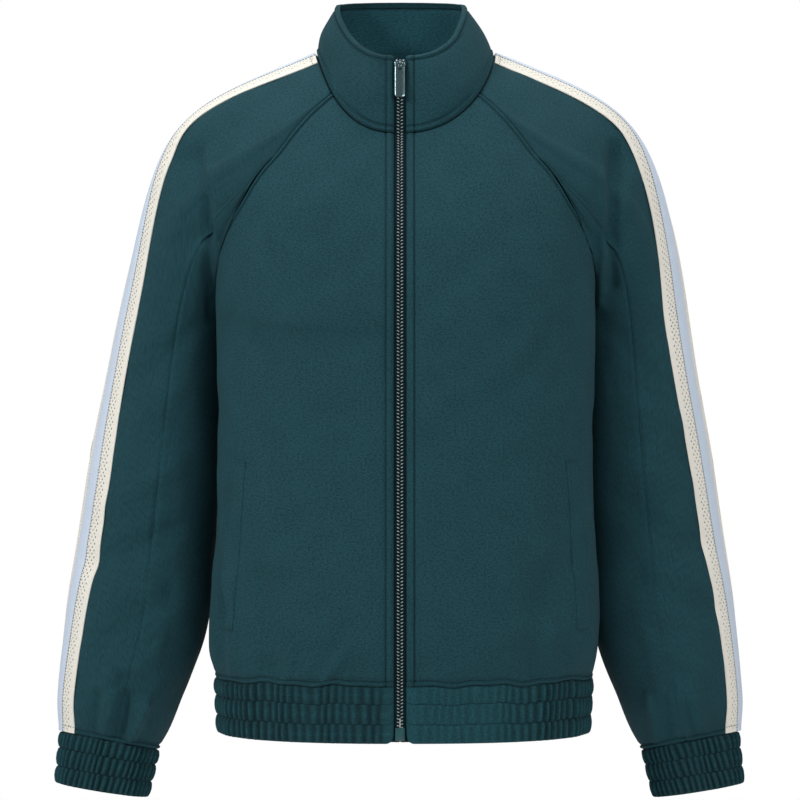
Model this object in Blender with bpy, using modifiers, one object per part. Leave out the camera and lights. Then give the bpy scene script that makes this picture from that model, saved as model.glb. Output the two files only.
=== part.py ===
"""A track jacket with raglan sleeves, a full zip and a stand collar, in the hollow shape in which it is worn.

Metres, +Z up, the front faces -Y and the wearer's left side is +X. The origin is the middle of the neck, at
the height where the collar meets the shoulders. Every piece of cloth is a wall through rings that are worked
out from the tables below.
"""

import math

import bmesh
import bpy
import numpy as np
from mathutils import Vector

# ---------------------------------------------------------------- driving dimensions

CLOTH = 0.0018          # thickness of the double knit
BAND_CLOTH = 0.0026     # hem and cuffs: two layers round an elastic
COLLAR_CLOTH = 0.0028
SEAM_GAP = 0.00034      # between pieces that are sewn together
LIFT = 0.0007           # of a piece that lies on a panel
FRONT_EDGE = 0.0062     # half the space between the two front edges, which the zip fills

HEM_SEAM = 10.0         # levels of the trunk table: neck seam 0, underarm 6, hem seam 10
UNDERARM = 6.0
SIDE_TURN = 104.0       # degrees round the body from the centre front to the side seam

TAPE_WIDTH = 0.053
SATIN_WIDTH = 0.0190
TAPE_THICKNESS = 0.0012
SATIN_THICKNESS = 0.0010
STRIPE_ANGLE = 28.0     # degrees from the outer side of the arm towards the front

NECK_POINT = 0.35       # how much the neck seam runs to a point in front, down to this level
NECK_POINT_END = 2.0
TRUNK_SQUARE = 2.4      # exponents of the rings: 2 is an ellipse, and more is squarer
ARM_SQUARE = 2.15

FRONT_COLUMNS = 10
BACK_COLUMNS = 9
RAGLAN_STEPS = 10
NECK_STEPS = 2
SIDE_ROWS = 11
SHOULDER_ROWS = 8
ARM_ROWS = 11

HEM_DROP = 0.055
HEM_FRONT_GATHERS = 27
HEM_BACK_GATHERS = 50
CUFF_GATHERS = 28
CHANNELS = 3
COLLAR_ROWS = 4
COLLAR_BULGE = 0.004    # of the middle of the collar's height, outwards
HEM_NARROWING = 0.985
STRIP_START = 0.0016    # from the neck seam and from the cuff seam
STRIP_END = 0.0008
GATHER_DEPTH = 0.0024   # in the middle of a channel, and less on its stitching
GATHER_ON_STITCHING = 0.3
GATHER_ON_EDGE = 0.5
CHANNEL_SWELL = 0.0006


class Rows:
    """A short table: the first column is the key, and the others are read from it along a smooth curve."""

    def __init__(self, columns, rows):
        data = np.array(sorted(rows), float)
        self.keys = data[:, 0]
        self.columns = dict(zip(columns.split()[1:], data.T[1:]))
        self.slopes = {name: np.gradient(column, self.keys) for name, column in self.columns.items()}

    def __call__(self, name, at):
        keys, values, slopes = self.keys, self.columns[name], self.slopes[name]
        at = np.clip(at, keys[0], keys[-1])
        low = np.clip(np.searchsorted(keys, at) - 1, 0, len(keys) - 2)
        span = keys[low + 1] - keys[low]
        t = (at - keys[low]) / span
        return (
            (1 + 2 * t) * (1 - t) ** 2 * values[low]
            + t * (1 - t) ** 2 * span * slopes[low]
            + t * t * (3 - 2 * t) * values[low + 1]
            + t * t * (t - 1) * span * slopes[low + 1]
        )


# Rings of the body from the neck seam to the hem seam. Heights are given at the centre front, side and back.
TRUNK = Rows("level half_width front back z_front z_side z_back arm_dent", [
    (0, 0.088, 0.080, 0.058, -0.065, 0.020, 0.022, 0.0),
    (1, 0.122, 0.094, 0.082, -0.088, 0.006, -0.004, 0.0),
    (2, 0.152, 0.108, 0.098, -0.120, -0.013, -0.034, 0.0),
    (3, 0.176, 0.120, 0.110, -0.155, -0.046, -0.075, 0.0),
    (4, 0.188, 0.128, 0.118, -0.195, -0.105, -0.130, 0.004),
    (5, 0.193, 0.133, 0.121, -0.235, -0.180, -0.190, 0.012),
    (6, 0.195, 0.135, 0.120, -0.275, -0.250, -0.255, 0.020),
    (7, 0.193, 0.137, 0.118, -0.380, -0.380, -0.380, 0.024),
    (8, 0.195, 0.138, 0.120, -0.500, -0.500, -0.500, 0.010),
    (9, 0.197, 0.135, 0.118, -0.560, -0.560, -0.560, 0.007),
    (10, 0.187, 0.126, 0.111, -0.600, -0.600, -0.600, 0.0),
])
DENT_Y = 0.028          # where the hanging arm presses the side in, and over what depth
DENT_SPREAD = 0.052

# How far the wearer's left side stands further out than the right one, by height: body and hanging sleeve.
LEAN = Rows("height body arm", [
    (0.080, 0.0010, 0.0010),
    (0.050, 0.0015, 0.0015),
    (0.012, 0.0060, 0.0060),
    (-0.050, 0.0055, 0.0055),
    (-0.190, 0.0058, 0.0058),
    (-0.260, 0.0055, 0.0035),
    (-0.380, 0.0055, 0.0012),
    (-0.500, 0.0050, 0.0005),
    (-0.600, 0.0040, 0.0),
    (-0.720, 0.0040, 0.0),
])
LEAN_FROM = 0.09        # distance from the centre front at which it is full

# The top edge of the collar, by the turn round the neck.
COLLAR_TOP = Rows("turn x y z", [
    (0, 0.0, -0.074, 0.010),
    (25, 0.030, -0.068, 0.0165),
    (45, 0.048, -0.050, 0.031),
    (65, 0.059, -0.028, 0.052),
    (90, 0.063, 0.000, 0.069),
    (120, 0.057, 0.026, 0.075),
    (150, 0.033, 0.042, 0.078),
    (180, 0.0, 0.047, 0.079),
])

# The raglan seams, as turns round the body at each level.
RAGLAN_FRONT = Rows("along turn level", [
    (0.0, 53, 0.0),
    (0.18, 51, 1.15),
    (0.38, 52, 2.45),
    (0.56, 58, 3.60),
    (0.72, 69, 4.45),
    (0.84, 79, 5.10),
    (0.93, 90, 5.75),
    (1.0, SIDE_TURN, UNDERARM),
])
RAGLAN_BACK = Rows("along turn level", [
    (0.0, 139, 0.0),
    (0.16, 144, 1.0),
    (0.34, 143, 2.2),
    (0.52, 138, 3.3),
    (0.70, 131, 4.3),
    (0.84, 123, 5.1),
    (0.94, 113, 5.8),
    (1.0, SIDE_TURN, UNDERARM),
])

# Rings of the sleeve from the underarm to the cuff seam, and on down the cuff.
ARM = Rows("down x y z half_width half_depth", [
    (0.0, 0.2335, 0.036, -0.262, 0.0565, 0.074),
    (0.1, 0.2380, 0.036, -0.302, 0.0590, 0.077),
    (0.3, 0.2470, 0.036, -0.385, 0.0660, 0.077),
    (0.5, 0.2560, 0.034, -0.468, 0.0690, 0.073),
    (0.7, 0.2655, 0.028, -0.548, 0.0705, 0.068),
    (0.85, 0.2795, 0.022, -0.610, 0.0620, 0.059),
    (0.94, 0.2867, 0.018, -0.644, 0.0560, 0.049),
    (1.0, 0.2915, 0.015, -0.667, 0.0490, 0.037),
    (1.12, 0.2995, 0.012, -0.7160, 0.0455, 0.0335),
])
CUFF_END = 1.12
SHOULDER_RISE = 0.46    # how full the sleeve is where it leaves the neck, and where it turns down
SHOULDER_FALL = 0.98

# How far the stripe's middle lies in front of the sleeve's joining seam, by the place down each sleeve.
STRIPE = Rows("down right left", [
    (-1.0, 0.004, 0.004),
    (-0.7, -0.002, 0.004),
    (-0.55, -0.005, 0.002),
    (-0.4, -0.001, 0.007),
    (-0.2, 0.002, 0.012),
    (0.1, 0.004, 0.012),
    (0.35, 0.008, 0.008),
    (0.5, 0.006, 0.004),
    (0.75, -0.004, -0.007),
    (1.0, -0.012, -0.012),
])

# Folds, as straight soft troughs (depth under 0) or ridges on the face that looks forwards (face -1) or
# backwards (1), from a high end to a low end, in the view from the front. Side -1 is the wearer's right.
# Columns: part side face x_high z_high x_low z_low depth width
FOLDS = [
    ("sleeve", -1, -1, 0.212, -0.088, 0.203, -0.160, -0.005, 0.014),
    ("sleeve", 1, -1, 0.210, -0.085, 0.202, -0.165, -0.005, 0.014),
    ("sleeve", -1, 1, 0.206, -0.090, 0.202, -0.165, -0.004, 0.015),
    ("sleeve", 1, 1, 0.206, -0.090, 0.202, -0.165, -0.004, 0.015),
    ("sleeve", -1, -1, 0.226, -0.455, 0.300, -0.487, -0.004, 0.012),
    ("sleeve", -1, -1, 0.228, -0.520, 0.296, -0.565, -0.004, 0.013),
    ("sleeve", -1, -1, 0.288, -0.617, 0.300, -0.655, 0.004, 0.007),
    ("sleeve", -1, -1, 0.252, -0.625, 0.270, -0.660, 0.004, 0.008),
    ("sleeve", -1, -1, 0.274, -0.600, 0.287, -0.655, -0.004, 0.007),
    ("sleeve", 1, -1, 0.226, -0.430, 0.290, -0.470, -0.004, 0.013),
    ("sleeve", 1, -1, 0.236, -0.500, 0.304, -0.535, -0.0035, 0.012),
    ("sleeve", 1, -1, 0.290, -0.610, 0.300, -0.655, 0.004, 0.007),
    ("sleeve", 1, -1, 0.262, -0.620, 0.272, -0.660, 0.0035, 0.008),
    ("sleeve", 1, 1, 0.236, -0.400, 0.300, -0.430, -0.004, 0.013),
    ("sleeve", 1, 1, 0.240, -0.500, 0.310, -0.520, -0.005, 0.014),
    ("sleeve", 1, 1, 0.280, -0.600, 0.298, -0.655, 0.004, 0.008),
    ("sleeve", -1, 1, 0.234, -0.415, 0.300, -0.440, -0.004, 0.013),
    ("sleeve", -1, 1, 0.240, -0.515, 0.312, -0.530, -0.005, 0.014),
    ("sleeve", -1, 1, 0.276, -0.595, 0.296, -0.650, 0.004, 0.008),
    ("body", -1, -1, 0.188, -0.420, 0.184, -0.590, 0.005, 0.010),
    ("body", -1, -1, 0.136, -0.500, 0.124, -0.585, -0.005, 0.013),
    ("body", 1, -1, 0.188, -0.430, 0.184, -0.590, 0.004, 0.010),
    ("body", 1, -1, 0.136, -0.500, 0.128, -0.588, -0.004, 0.013),
    ("body", -1, 1, 0.110, -0.300, 0.085, -0.585, -0.006, 0.020),
    ("body", 1, 1, 0.112, -0.320, 0.090, -0.585, -0.006, 0.020),
    ("body", -1, 1, 0.165, -0.360, 0.150, -0.585, 0.005, 0.016),
    ("body", 1, 1, 0.165, -0.340, 0.152, -0.585, 0.005, 0.016),
    ("body", 1, 1, 0.030, -0.400, 0.022, -0.588, -0.004, 0.018),
]

# Slanted pocket welts: the distances of their two long edges from the centre front.
POCKET = Rows("height near far", [
    (-0.384, 0.1545, 0.1665),
    (-0.452, 0.1600, 0.1730),
    (-0.547, 0.1655, 0.1770),
])
POCKET_ROWS = 9
POCKET_THICKNESS = 0.0016

ZIP_TAPE_WIDTH = 0.013
ZIP_TAPE_THICKNESS = 0.0010
ZIP_TAPE_DEPTH = 0.0031     # of its outer face under the outer face of the cloth
CHAIN_WIDTH = 0.0056
CHAIN_DEPTH = 0.0003
CHAIN_THICKNESS = 0.0025
SLIDER_UP = 0.83            # place of the slider's middle on the collar, as a share of its height
SLIDER_LENGTH = 0.019
SLIDER_WIDTH = 0.0112
SLIDER_THICKNESS = 0.0022
BRIDGE_WIDTH = 0.0030
BRIDGE_BAR = 0.0012
BRIDGE_ROOM = 0.0030        # between the slider's plate and the bridge, where the tab turns
BRIDGE_SPAN = 0.0040
BRIDGE_CORNER = 0.0008      # of the room under it
TAB_WIDTH = 0.010
TAB_LENGTH = 0.033
TAB_THICKNESS = 0.0017
TAB_EYE_WIDTH = 0.0046
TAB_EYE_LENGTH = 0.0068
TAB_EYE_BAR = 0.0017
SLIDER_LIFT = 0.0004        # of the slider's plate over the outer face of the cloth
BRIDGE_UP = 0.0026          # from the slider's middle
ZIP_END = 0.0015            # from the collar's top to the tapes, and from their ends to the chain's
BOX_TOP, BOX_BOTTOM = -0.6393, -0.6518
BOX_WIDTH = 0.0094
BOX_THICKNESS = 0.0036


# ---------------------------------------------------------------- the form

def power(value, square):
    return np.sign(value) * np.abs(value) ** (2 / square)


def trunk_point(turn, level):
    """A point of the body's outer face, on the wearer's left. Turn is in degrees from the centre front."""
    sine, cosine = np.sin(np.radians(turn)), np.cos(np.radians(turn))
    depth = np.where(cosine > 0, TRUNK("front", level), TRUNK("back", level))
    y = -power(cosine, TRUNK_SQUARE) * depth
    dent = TRUNK("arm_dent", level) * np.exp(-(((y - DENT_Y) / DENT_SPREAD) ** 2)) * sine**2
    x = power(sine, TRUNK_SQUARE) * TRUNK("half_width", level) - dent
    end = np.where(cosine > 0, TRUNK("z_front", level), TRUNK("z_back", level))
    side = TRUNK("z_side", level)
    point = 1 + NECK_POINT * np.clip(1 - level / NECK_POINT_END, 0, 1) * (cosine > 0)
    return np.stack([x, y, side + (end - side) * np.abs(cosine) ** point], -1)


def unit(vectors):
    return vectors / np.maximum(np.linalg.norm(vectors, axis=-1, keepdims=True), 1e-12)


def trunk_normal(turn, level):
    round_body = trunk_point(turn + 0.2, level) - trunk_point(turn - 0.2, level)
    low, high = np.minimum(level + 0.02, HEM_SEAM), np.maximum(level - 0.02, 0)
    return unit(np.cross(trunk_point(turn, low) - trunk_point(turn, high), round_body))


def arm_point(angle, down):
    """A point of the sleeve's outer face below the underarm. Angle 0 is its outer side and 90 its front."""
    step = 0.004
    centre = np.stack([ARM(name, down) for name in "xyz"], -1)
    low = np.stack([ARM(name, np.minimum(down + step, CUFF_END)) for name in "xyz"], -1)
    high = np.stack([ARM(name, np.maximum(down - step, 0)) for name in "xyz"], -1)
    axis = unit(low - high)
    forwards = np.array((0.0, -1.0, 0.0)) * np.ones_like(centre)
    outwards = unit(np.cross(forwards, axis))
    forwards = np.cross(axis, outwards)
    across = (power(np.cos(np.radians(angle)), ARM_SQUARE) * ARM("half_width", down))[..., None]
    ahead = (power(np.sin(np.radians(angle)), ARM_SQUARE) * ARM("half_depth", down))[..., None]
    return centre + outwards * across + forwards * ahead


NECK_SHARE = NECK_STEPS / (NECK_STEPS + RAGLAN_STEPS)
RIDGE_TURN = 94.0


def armhole(around):
    """Turn and level of the sleeve's top edge. 0 is at the neck, on the shoulder; 1 and -1 are the underarm,
    reached along the front and the back raglan seam."""
    front = around >= 0
    share = np.abs(around)
    neck = np.clip(share / NECK_SHARE, 0, 1)
    along = np.clip((share - NECK_SHARE) / (1 - NECK_SHARE), 0, 1)
    corner = np.where(front, RAGLAN_FRONT("turn", 0.0), RAGLAN_BACK("turn", 0.0))
    seam_turn = np.where(front, RAGLAN_FRONT("turn", along), RAGLAN_BACK("turn", along))
    seam_level = np.where(front, RAGLAN_FRONT("level", along), RAGLAN_BACK("level", along))
    on_neck = share < NECK_SHARE
    turn = np.where(on_neck, RIDGE_TURN + (corner - RIDGE_TURN) * neck, seam_turn)
    return turn, np.where(on_neck, 0.0, seam_level)


def arm_angle(around):
    """Degrees round the arm. The stripe's middle is at STRIPE_ANGLE, and the underarm seam is opposite 0."""
    return STRIPE_ANGLE + np.where(around >= 0, 180 - STRIPE_ANGLE, 180 + STRIPE_ANGLE) * around


def sleeve_point(around, down):
    """A point of the sleeve's outer face. Down is -1 at its top edge, 0 at the underarm and 1 at its cuff."""
    around, down = np.broadcast_arrays(np.asarray(around, float), np.asarray(down, float))
    arm = arm_point(arm_angle(around), np.maximum(down, 0))
    turn, level = armhole(around)
    start = trunk_point(turn, level)
    end = arm_point(arm_angle(around), np.zeros_like(down))
    chord = end - start
    length = np.linalg.norm(chord, axis=-1, keepdims=True)
    normal = trunk_normal(turn, level)
    leaving = unit(chord - normal * (chord * normal).sum(-1, keepdims=True))
    arriving = unit(arm_point(arm_angle(around), np.full_like(down, 0.03)) - end)
    outer = (np.cos(np.abs(around) * np.pi / 2) ** 1.5)[..., None]
    rise, fall = (1.0 + SHOULDER_RISE * outer) * length, (1.0 + SHOULDER_FALL * outer) * length
    t = np.clip(down + 1, 0, 1)[..., None]
    shoulder = (
        (1 + 2 * t) * (1 - t) ** 2 * start
        + t * (1 - t) ** 2 * rise * leaving
        + t * t * (3 - 2 * t) * end
        + t * t * (t - 1) * fall * arriving
    )
    return np.where((down < 0)[..., None], shoulder, arm)


def collar_point(turn, up):
    """A point of the collar's outer face, from the neck seam (0) to its top edge (1)."""
    foot = trunk_point(turn, np.zeros_like(turn))
    top = np.stack([COLLAR_TOP(name, turn) for name in "xyz"], -1)
    up = np.asarray(up, float)[..., None]
    bulge = COLLAR_BULGE * np.sin(np.pi * up) * unit(foot * np.array((1, 1, 0)))
    return foot + (top - foot) * up + bulge


def smooth(share):
    share = np.clip(share, 0, 1)
    return share * share * (3 - 2 * share)


def lean(points, down=-1.0):
    """The points moved towards the wearer's left. Down is the place on the sleeve: its top edge moves with
    the body, and the hanging arm moves less."""
    body, arm = LEAN("body", points[..., 2]), LEAN("arm", points[..., 2])
    moved = points.copy()
    moved[..., 0] += (body + (arm - body) * smooth(down + 1)) * smooth(np.abs(points[..., 0]) / LEAN_FROM)
    return moved


def folded(points, normals, part, side, share):
    """The points moved along their normals by the folds of this part and side, each by its share of them."""
    moved = np.zeros(points.shape[:-1])
    for name, on, face, x_high, z_high, x_low, z_low, depth, width in FOLDS:
        if (name, on) != (part, side):
            continue
        start, run = np.array((x_high, z_high)), np.array((x_low - x_high, z_low - z_high))
        flat = points[..., [0, 2]] - start
        t = np.clip(flat @ run / (run @ run), 0, 1)
        away = np.linalg.norm(flat - t[..., None] * run, axis=-1)
        facing = np.clip(normals[..., 1] * face * 1.6, 0, 1)
        moved += depth * np.exp(-((away / width) ** 2)) * facing
    return points + normals * (moved * share)[..., None]


def hem_share(level):
    """Folds of the body die out into the hem seam."""
    return np.clip((HEM_SEAM - level) / 0.35, 0, 1)


def cuff_share(down):
    """Folds of the sleeve die out into the armhole and the cuff seam."""
    return np.clip((down + 1) / 0.25, 0, 1) * np.clip((1 - down) / 0.04, 0, 1)


# ---------------------------------------------------------------- grids of points

def level_rows():
    """Levels of the centre line and of the edge, row by row, down a front or back panel."""
    seam = np.linspace(0, 1, RAGLAN_STEPS + 1)
    side = np.linspace(UNDERARM, HEM_SEAM, SIDE_ROWS + 1)[1:]
    across = UNDERARM + 0.15    # level of the centre line beside the underarm
    low = across + (side - UNDERARM) * (HEM_SEAM - across) / (HEM_SEAM - UNDERARM)
    middle = np.concatenate([seam * across, low])
    return seam, side, middle


def panel(seam_table, columns, centre_turn):
    """Points of half a panel, from its centre line to its raglan and side seam."""
    seam, side, middle = level_rows()
    edge_turn = np.concatenate([seam_table("turn", seam), np.full(len(side), SIDE_TURN)])
    edge_level = np.concatenate([seam_table("level", seam), side])
    u = np.linspace(0, 1, columns + 1)[None, :]
    turn = centre_turn + (edge_turn[:, None] - centre_turn) * u
    level = middle[:, None] + (edge_level - middle)[:, None] * u
    return turn, level


def sleeve_rows():
    return np.concatenate([np.linspace(-1, 0, SHOULDER_ROWS + 1), np.linspace(0, 1, ARM_ROWS + 1)[1:]])


def grid_normals(grid):
    """Normals of the quads round each point, added up at their corners."""
    across = grid[:-1, 1:] - grid[1:, :-1]
    along = grid[1:, 1:] - grid[:-1, :-1]
    quads = np.cross(along, across)
    total = np.zeros_like(grid)
    for i, j in ((0, 0), (0, 1), (1, 0), (1, 1)):
        total[i:len(grid) - 1 + i, j:grid.shape[1] - 1 + j] += quads
    return total


def shared_normals(grids):
    """Unit normals of several grids, the same at each point that two of them share."""
    points = np.concatenate([grid.reshape(-1, 3) for grid in grids.values()])
    normals = np.concatenate([grid_normals(grid).reshape(-1, 3) for grid in grids.values()])
    keys = np.unique(np.round(points * 1e5).astype(np.int64), axis=0, return_inverse=True)[1].reshape(-1)
    total = np.zeros((keys.max() + 1, 3))
    np.add.at(total, keys, normals)
    flat, start, found = unit(total)[keys], 0, {}
    for name, grid in grids.items():
        count = grid.shape[0] * grid.shape[1]
        found[name] = flat[start:start + count].reshape(grid.shape)
        start += count
    return found


def mirrored(grid):
    """The grid on the wearer's right, with its columns turned round so that it still faces out."""
    return grid[:, ::-1] * np.array((-1, 1, 1))


def trim(grid, top=0.0, bottom=0.0, first=0.0, last=0.0):
    """The grid with its edge rows and columns drawn back by these lengths."""
    grid = grid.copy()
    for edge, beside, length in ((0, 1, top), (-1, -2, bottom)):
        grid[edge] += unit(grid[beside] - grid[edge]) * length
    for edge, beside, length in ((0, 1, first), (-1, -2, last)):
        grid[:, edge] += unit(grid[:, beside] - grid[:, edge]) * length
    return grid


# ---------------------------------------------------------------- objects

for old in list(bpy.data.objects):
    bpy.data.objects.remove(old)
JACKET = bpy.data.collections.new("track_jacket")
bpy.context.scene.collection.children.link(JACKET)
HELPERS = bpy.data.collections.new("helpers")
bpy.context.scene.collection.children.link(HELPERS)


def material(name, colour, roughness, metallic=0.0):
    made = bpy.data.materials.new(name)
    made.use_nodes = True
    shader = made.node_tree.nodes["Principled BSDF"]
    shader.inputs["Base Color"].default_value = (*colour, 1)
    shader.inputs["Roughness"].default_value = roughness
    shader.inputs["Metallic"].default_value = metallic
    return made


KNIT = material("teal_double_knit", (0.018, 0.056, 0.069), 0.72)
SHIRRED = material("teal_shirred_elastic", (0.011, 0.040, 0.049), 0.75)
EYELET = material("cream_eyelet_tape", (0.87, 0.80, 0.68), 0.75)
SATIN = material("light_blue_satin", (0.58, 0.66, 0.85), 0.40)
ZIP_CLOTH = material("dark_zip_tape", (0.008, 0.026, 0.032), 0.80)
ZIP_PLASTIC = material("teal_zip_plastic", (0.010, 0.075, 0.085), 0.35)
STEEL = material("polished_steel", (0.72, 0.74, 0.75), 0.16, 1.0)


def add_object(name, points, faces, finish):
    mesh = bpy.data.meshes.new(name)
    mesh.from_pydata([tuple(p) for p in points], [], faces)
    mesh.materials.append(finish)
    mesh.shade_smooth()
    mesh.set_sharp_from_angle(angle=math.radians(50))
    made = bpy.data.objects.new(name, mesh)
    JACKET.objects.link(made)
    return made


def cells(rows, columns, start, closed, slant, flip):
    """Triangles over a grid whose points start at this index. A closed grid joins its last column to its
    first. Both faces of a wall are cut along the same diagonals, so that it keeps its thickness. Slant says
    for each column whether they run down towards the next column (1) or the one before (-1)."""
    faces = []
    for i in range(rows - 1):
        for j in range(columns if closed else columns - 1):
            k = (j + 1) % columns
            above, below = start + i * columns, start + (i + 1) * columns
            if slant[j] > 0:
                pair = [above + j, below + j, below + k], [above + j, below + k, above + k]
            else:
                pair = [above + j, below + j, above + k], [below + j, below + k, above + k]
            faces += [face[::-1] if flip else face for face in pair]
    return faces


def wall(name, outer, inner, finish, closed=False, slant=(1,)):
    """A closed solid between two grids with the same columns. The inner one may have fewer rows. Slant is one
    direction of the diagonals for the whole piece, or two for its halves."""
    rows, columns = outer.shape[:2]
    slant = np.repeat(slant, -(-columns // len(slant)))
    inner_rows = inner.shape[0]
    base = rows * columns
    faces = cells(rows, columns, 0, closed, slant, False)
    faces += cells(inner_rows, columns, base, closed, slant, True)
    low, inner_low = (rows - 1) * columns, base + (inner_rows - 1) * columns
    for j in range(columns if closed else columns - 1):
        k = (j + 1) % columns
        faces.append([j, k, base + k, base + j])
        faces.append([low + k, low + j, inner_low + j, inner_low + k])
    if not closed:
        last = columns - 1
        down = [i * columns for i in range(rows)]
        up = [base + i * columns for i in range(inner_rows - 1, -1, -1)]
        if inner_rows == rows:
            for i in range(rows - 1):
                a, b = i * columns, (i + 1) * columns
                faces.append([a, base + a, base + b, b])
                faces.append([a + last, b + last, base + b + last, base + a + last])
        else:
            faces.append((down + up)[::-1])
            faces.append([i + last for i in down + up])
    points = np.concatenate([outer.reshape(-1, 3), inner.reshape(-1, 3)])
    return add_object(name, points, faces, finish)


def side_name(side):
    return "left" if side > 0 else "right"


# ---------------------------------------------------------------- body and sleeves

def shell_grids():
    """Outer faces of the eight large pieces, with shared edges, and each point's share of the folds."""
    grids, shares = {}, {}
    front_turn, front_level = panel(RAGLAN_FRONT, FRONT_COLUMNS, 0.0)
    back_turn, back_level = panel(RAGLAN_BACK, BACK_COLUMNS, 180.0)
    front = trunk_point(front_turn, front_level)
    back = trunk_point(back_turn, back_level)[:, ::-1]
    rows = sleeve_rows()[:, None]
    steps = NECK_STEPS + RAGLAN_STEPS
    ahead = sleeve_point(np.linspace(1, 0, steps + 1)[None, :], rows)
    behind = sleeve_point(np.linspace(0, -1, steps + 1)[None, :], rows)
    for side in (-1, 1):
        turned = (lambda grid: grid) if side > 0 else mirrored
        grids["front", side] = lean(turned(front))
        grids["back", side] = lean(turned(back))
        grids["sleeve_front", side] = lean(turned(ahead), rows)
        grids["sleeve_back", side] = lean(turned(behind), rows)
        order = slice(None, None, side)
        shares["front", side] = hem_share(front_level)[:, order]
        shares["back", side] = hem_share(back_level)[:, ::-1][:, order]
        shares["sleeve_front", side] = shares["sleeve_back", side] = cuff_share(rows)
    return grids, shares


def fold_all(grids, shares):
    normals = shared_normals(grids)
    found = {}
    for (kind, side), grid in grids.items():
        part = "sleeve" if kind.startswith("sleeve") else "body"
        mirror = np.array((side, 1, 1))
        moved = folded(grid * mirror, normals[kind, side] * mirror, part, side, shares[kind, side])
        found[kind, side] = moved * mirror
    return found


GRIDS = fold_all(*shell_grids())
NORMALS = shared_normals(GRIDS)


def cloth_piece(name, grid, normals, finish, thickness, slant, **edges):
    inner = grid - normals * thickness
    return wall(name, trim(grid, **edges), trim(inner, **edges), finish, slant=slant)


HALF_GAP = SEAM_GAP / 2
for side in (-1, 1):
    word = side_name(side)
    outer_edge, centre_edge = ("last", "first") if side > 0 else ("first", "last")
    front, front_normals = GRIDS["front", side], NORMALS["front", side]
    cloth_piece(f"front_{word}", front, front_normals, KNIT, CLOTH, (side,), top=HALF_GAP, bottom=HALF_GAP,
                **{outer_edge: HALF_GAP, centre_edge: FRONT_EDGE})
    for face in ("front", "back"):
        under, ridge = ("first", "last") if (face == "front") == (side > 0) else ("last", "first")
        cloth_piece(f"sleeve_{word}_{face}", GRIDS[f"sleeve_{face}", side], NORMALS[f"sleeve_{face}", side],
                    KNIT, CLOTH, (side if face == "front" else -side,),
                    top=HALF_GAP, bottom=HALF_GAP, **{under: HALF_GAP, ridge: HALF_GAP})

back = np.concatenate([GRIDS["back", 1], GRIDS["back", -1][:, 1:]], axis=1)
back_normals = np.concatenate([NORMALS["back", 1], NORMALS["back", -1][:, 1:]], axis=1)
cloth_piece("back", back, back_normals, KNIT, CLOTH, (-1, 1),
            top=HALF_GAP, bottom=HALF_GAP, first=HALF_GAP, last=HALF_GAP)


# ---------------------------------------------------------------- collar, hem and cuffs

def neck_turns():
    """Turns of the points that the body and the sleeves share with the collar, from the front to the back."""
    front = np.linspace(0, RAGLAN_FRONT("turn", 0.0), FRONT_COLUMNS + 1)
    ahead = np.linspace(RAGLAN_FRONT("turn", 0.0), RIDGE_TURN, NECK_STEPS + 1)
    behind = np.linspace(RIDGE_TURN, RAGLAN_BACK("turn", 0.0), NECK_STEPS + 1)
    back = np.linspace(RAGLAN_BACK("turn", 0.0), 180, BACK_COLUMNS + 1)
    return np.concatenate([front, ahead[1:], behind[1:], back[1:]])


def make_collar():
    turns, ups = np.meshgrid(neck_turns(), np.linspace(1, 0, COLLAR_ROWS + 1))
    left = collar_point(turns, ups)
    grid = lean(np.concatenate([left, mirrored(left)[:, 1:]], axis=1))
    normals = shared_normals({"collar": grid})["collar"]
    cloth_piece("collar", grid, normals, KNIT, COLLAR_CLOTH, (1, -1),
                bottom=SEAM_GAP, first=FRONT_EDGE, last=FRONT_EDGE)


def even_turns(start, end, count):
    """Turns round the hem whose points are the same length of cloth apart."""
    fine = np.linspace(start, end, 2000)
    steps = np.linalg.norm(np.diff(trunk_point(fine, HEM_SEAM), axis=0), axis=-1)
    length = np.concatenate([[0], np.cumsum(steps)])
    return np.interp(np.linspace(0, length[-1], count), length, fine)


def gathered(base, normals, count):
    """The rows of a shirred band: each channel is full in its middle and held in by the stitching."""
    lines = 2 * CHANNELS + 1
    grid = np.empty((lines, *base.shape[1:]))
    wave = np.arange(count) % 2
    for line in range(lines):
        share = line / (lines - 1)
        full = line % 2
        edge = line in (0, lines - 1)
        depth = 1.0 if full else GATHER_ON_EDGE if edge else GATHER_ON_STITCHING
        height = CHANNEL_SWELL * full + wave * GATHER_DEPTH * depth
        place = base[0] + (base[1] - base[0]) * share
        grid[line] = place + normals * height[:, None]
    return grid


def make_band(name, top, bottom, closed, trims, columns):
    """A hem or cuff piece from its top and bottom rings."""
    base = np.stack([top, bottom])
    rings = np.concatenate([base[:, -1:], base, base[:, :1]], axis=1) if closed else base
    normals = unit(grid_normals(rings))
    normals = unit(normals[0] + normals[1])
    normals = normals[1:-1] if closed else normals
    inner = base - normals * BAND_CLOTH
    outer = gathered(base, normals, columns)
    wall(name, trim(outer, top=HALF_GAP, **trims), trim(inner, top=HALF_GAP, **trims), SHIRRED, closed)


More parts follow.
